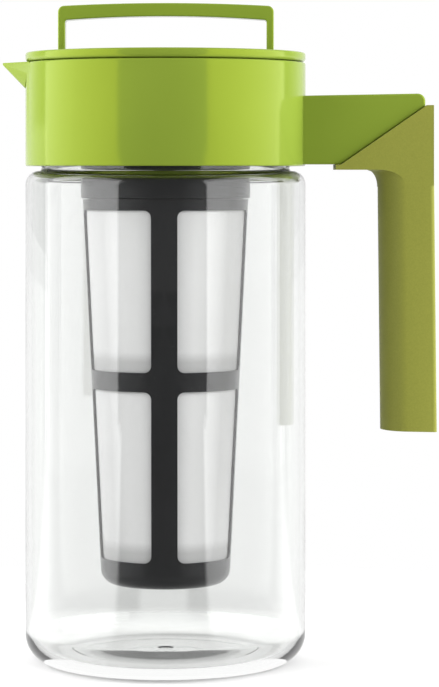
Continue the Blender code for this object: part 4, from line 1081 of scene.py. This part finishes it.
def white_table():
    """White laminate, matt: it shows plain white, a little darker where the jug shades it."""
    material, tree = new_material("white_table")
    place = add_node(tree, "ShaderNodeTexCoord").outputs["Object"]
    parts = add_node(tree, "ShaderNodeSeparateXYZ", {"Vector": place})
    distance = add_node(tree, "ShaderNodeVectorMath", {0: place}, operation="LENGTH")
    path = add_node(tree, "ShaderNodeLightPath")
    sooner_through_jug = add_node(tree, "ShaderNodeMath", {
        0: path.outputs["Is Transmission Ray"], 1: 1.0, 2: 1.0
    }, operation="MULTIPLY_ADD")
    reach = add_node(tree, "ShaderNodeMath", {
        0: distance.outputs["Value"], 1: sooner_through_jug
    }, operation="MULTIPLY")
    fade = add_node(tree, "ShaderNodeMapRange", {
        "Value": reach, "From Min": SHADOW_REACH, "From Max": TABLE_FADE_END
    })
    top = add_node(tree, "ShaderNodeBsdfPrincipled", {
        "Base Color": hex_colour("#d4d4d4"),
        "Roughness": 0.9,
        "Specular IOR Level": 0.0,
        "Emission Color": (1, 1, 1, 1),
        "Emission Strength": TABLE_GLOW,
    })
    nothing = add_node(tree, "ShaderNodeBsdfTransparent")
    seen = add_node(tree, "ShaderNodeMixShader", {0: fade, 1: top, 2: nothing})
    turned_x = add_node(tree, "ShaderNodeMath", {
        0: parts.outputs["Y"], 1: FRONT_TURN, 2: parts.outputs["X"]
    }, operation="MULTIPLY_ADD")
    aside = add_node(tree, "ShaderNodeMath", {0: turned_x}, operation="ABSOLUTE")
    past_front = add_node(tree, "ShaderNodeMath", {
        0: parts.outputs["Y"], 1: FRONT_SLOPE, 2: aside
    }, operation="MULTIPLY_ADD")
    level = add_node(tree, "ShaderNodeMapRange", {
        "Value": past_front,
        "From Min": -FRONT_BLUR,
        "From Max": FRONT_BLUR,
        "To Min": FRONT_SHINE,
        "To Max": SIDE_SHINE,
    })
    before_back = add_node(tree, "ShaderNodeMath", {
        0: parts.outputs["Y"], 1: BACK_SLOPE, 2: aside
    }, operation="MULTIPLY_ADD")
    back_level = add_node(tree, "ShaderNodeMapRange", {
        "Value": before_back,
        "From Min": -BACK_BLUR,
        "From Max": 0.0,
        "To Min": BACK_SHINE,
        "To Max": SIDE_SHINE,
    })
    lower_level = add_node(tree, "ShaderNodeMath", {0: level, 1: back_level}, operation="MINIMUM")
    off_centre = add_node(tree, "ShaderNodeMath", {0: parts.outputs["X"]}, operation="ABSOLUTE")
    beyond_box = add_node(tree, "ShaderNodeMath", {
        0: off_centre, 1: BEHIND_BOX
    }, operation="GREATER_THAN")
    in_box_direction = add_node(tree, "ShaderNodeMath", {
        0: before_back, 1: 0.0
    }, operation="GREATER_THAN")
    hidden_by_box = add_node(tree, "ShaderNodeMath", {
        0: beyond_box, 1: in_box_direction
    }, operation="MULTIPLY")
    far_shine = add_node(tree, "ShaderNodeMix", {0: hidden_by_box, 2: lower_level, 3: 0.0})
    far = add_node(tree, "ShaderNodeMapRange", {
        "Value": distance.outputs["Value"], "From Min": NEAR_JUG, "From Max": NEAR_JUG_END
    })
    shine = add_node(tree, "ShaderNodeMix", {0: far, 2: NEAR_SHINE, 3: far_shine})
    sharp_or_soft = add_node(tree, "ShaderNodeMix", {
        0: path.outputs["Is Diffuse Ray"], 2: shine, 3: SOFT_SHINE
    })
    shone = add_node(tree, "ShaderNodeEmission", {"Strength": sharp_or_soft})
    straight = seen_straight(tree, path)
    either = add_node(tree, "ShaderNodeMixShader", {0: straight, 1: shone, 2: seen})
    add_node(tree, "ShaderNodeOutputMaterial", {"Surface": either})
    return material


bpy.ops.mesh.primitive_plane_add(size=TABLE_SIZE, location=(0, 0, 0))
floor = bpy.context.object
floor.name = "floor"
floor.data.materials.append(white_table())


# Light
# Two tall softboxes stand left and right of the jug. Two smaller lamps in their planes, which
# show in no mirror or glass, raise the light on the green. The room is white behind the jug and
# dark on the camera's side, so that clear and glossy walls have contrast.
BOX_DISTANCE = 0.80
BOX_BACK = 0.32
BOX_HEIGHT = 1.20
BOX_RADIANCE = 2.25
BULB_RADIANCE = 11.0
BULB_BOTTOM = 0.215
BULB_HEIGHT = 0.45
LEFT_BOX = (-1.04, BOX_BACK)
RIGHT_BOX = (-1.17, BOX_BACK)
LEFT_BULB = (-0.25, 0.40)
RIGHT_BULB = (-0.39, 0.14)
ROOM_TURN = (-0.5, 0.45)
ROOM_LEVELS = (0.46, 1.0)
MIRROR_TURN = (0.5, 0.8)
MIRROR_LEVELS = (0.12, 0.9)
SEEN_SHIFT = 0.019
SEEN_LEVELS = ((0.0147, 0.84), (0.0152, 0.67), (0.105, 0.67), (0.17, 1.0))


def side_lamp(name, side, front, back, bottom, height, radiance):
    """An upright flat lamp beside the jug, between two places in front of it and behind it."""
    place = (side * BOX_DISTANCE, (front + back) / 2, bottom + height / 2)
    turn = (math.pi / 2, 0, side * math.pi / 2)
    bpy.ops.object.light_add(type="AREA", location=place, rotation=turn)
    lamp = bpy.context.object
    lamp.name = name
    lamp.data.shape = "RECTANGLE"
    lamp.data.size = back - front
    lamp.data.size_y = height
    lamp.data.energy = radiance * math.pi * (back - front) * height
    return lamp


side_lamp("softbox_left", -1, *LEFT_BOX, 0, BOX_HEIGHT, BOX_RADIANCE)
side_lamp("softbox_right", 1, *RIGHT_BOX, 0, BOX_HEIGHT, BOX_RADIANCE)
for name, side, reach in (("bulb_left", -1, LEFT_BULB), ("bulb_right", 1, RIGHT_BULB)):
    bulb = side_lamp(name, side, *reach, BULB_BOTTOM, BULB_HEIGHT, BULB_RADIANCE)
    bulb.visible_glossy = False
    bulb.visible_transmission = False

world = bpy.data.worlds.new("pale_room")
bpy.context.scene.world = world
world.use_nodes = True
room = world.node_tree
room.nodes.clear()
direction = add_node(room, "ShaderNodeTexCoord")
axes = add_node(room, "ShaderNodeSeparateXYZ", {"Vector": direction.outputs["Generated"]})
plain_level = add_node(room, "ShaderNodeMapRange", {
    "Value": axes.outputs["Y"],
    "From Min": ROOM_TURN[0],
    "From Max": ROOM_TURN[1],
    "To Min": ROOM_LEVELS[0],
    "To Max": ROOM_LEVELS[1],
})
shifted = add_node(room, "ShaderNodeMath", {0: axes.outputs["X"], 1: SEEN_SHIFT}, operation="ADD")
off_middle = add_node(room, "ShaderNodeMath", {0: shifted}, operation="ABSOLUTE")
behind = add_node(room, "ShaderNodeValToRGB", {"Fac": off_middle})
stops = behind.color_ramp.elements
stops[0].position = SEEN_LEVELS[0][0]
stops[1].position = SEEN_LEVELS[-1][0]
for place, grey in SEEN_LEVELS[1:-1]:
    stops.new(place)
for stop, (place, grey) in zip(stops, SEEN_LEVELS):
    stop.color = (grey, grey, grey, 1)
path = add_node(room, "ShaderNodeLightPath")
straight = seen_straight(room, path)
looked_through = add_node(room, "ShaderNodeMath", {
    0: path.outputs["Is Transmission Ray"], 1: straight
}, operation="MULTIPLY")
mirror_level = add_node(room, "ShaderNodeMapRange", {
    "Value": axes.outputs["Y"],
    "From Min": MIRROR_TURN[0],
    "From Max": MIRROR_TURN[1],
    "To Min": MIRROR_LEVELS[0],
    "To Max": MIRROR_LEVELS[1],
})
mirrored = add_node(room, "ShaderNodeMix", {
    0: path.outputs["Is Glossy Ray"], 2: plain_level, 3: mirror_level
})
through = add_node(room, "ShaderNodeMix", {0: looked_through, 2: mirrored, 3: behind})
level = add_node(room, "ShaderNodeMath", {
    0: through, 1: path.outputs["Is Camera Ray"]
}, operation="MAXIMUM")
air = add_node(room, "ShaderNodeBackground", {"Color": (1, 1, 1, 1), "Strength": level})
add_node(room, "ShaderNodeOutputWorld", {"Surface": air})


# Camera
# It stands 1.2 m in front of the jug at the height of the jug's shoulder, looks level, and
# its lens is shifted down, so that upright edges stay upright.
IMAGE_WIDTH = 439
IMAGE_HEIGHT = 687
FOCAL_PIXELS = 3000
JUG_AXIS_PIXEL = 165.6
HORIZON_PIXEL = 174.0
PIXELS_PER_METRE = 2498
SENSOR = 36.0
EYE_HEIGHT = 0.195
VIEW_LIMIT = 20
camera_data = bpy.data.cameras.new("camera")
camera = bpy.data.objects.new("camera", camera_data)
bpy.context.scene.collection.objects.link(camera)
camera_data.sensor_width = SENSOR
camera_data.lens = FOCAL_PIXELS * SENSOR / IMAGE_HEIGHT
camera_data.shift_y = (HORIZON_PIXEL - IMAGE_HEIGHT / 2) / IMAGE_HEIGHT
camera_distance = FOCAL_PIXELS / PIXELS_PER_METRE
camera_side = (IMAGE_WIDTH / 2 - JUG_AXIS_PIXEL) / PIXELS_PER_METRE
camera.location = (camera_side, -camera_distance, EYE_HEIGHT)
camera.rotation_euler = (math.pi / 2, 0, 0)
camera_data.clip_end = VIEW_LIMIT
bpy.context.scene.camera = camera
bpy.context.scene.view_settings.view_transform = "Standard"
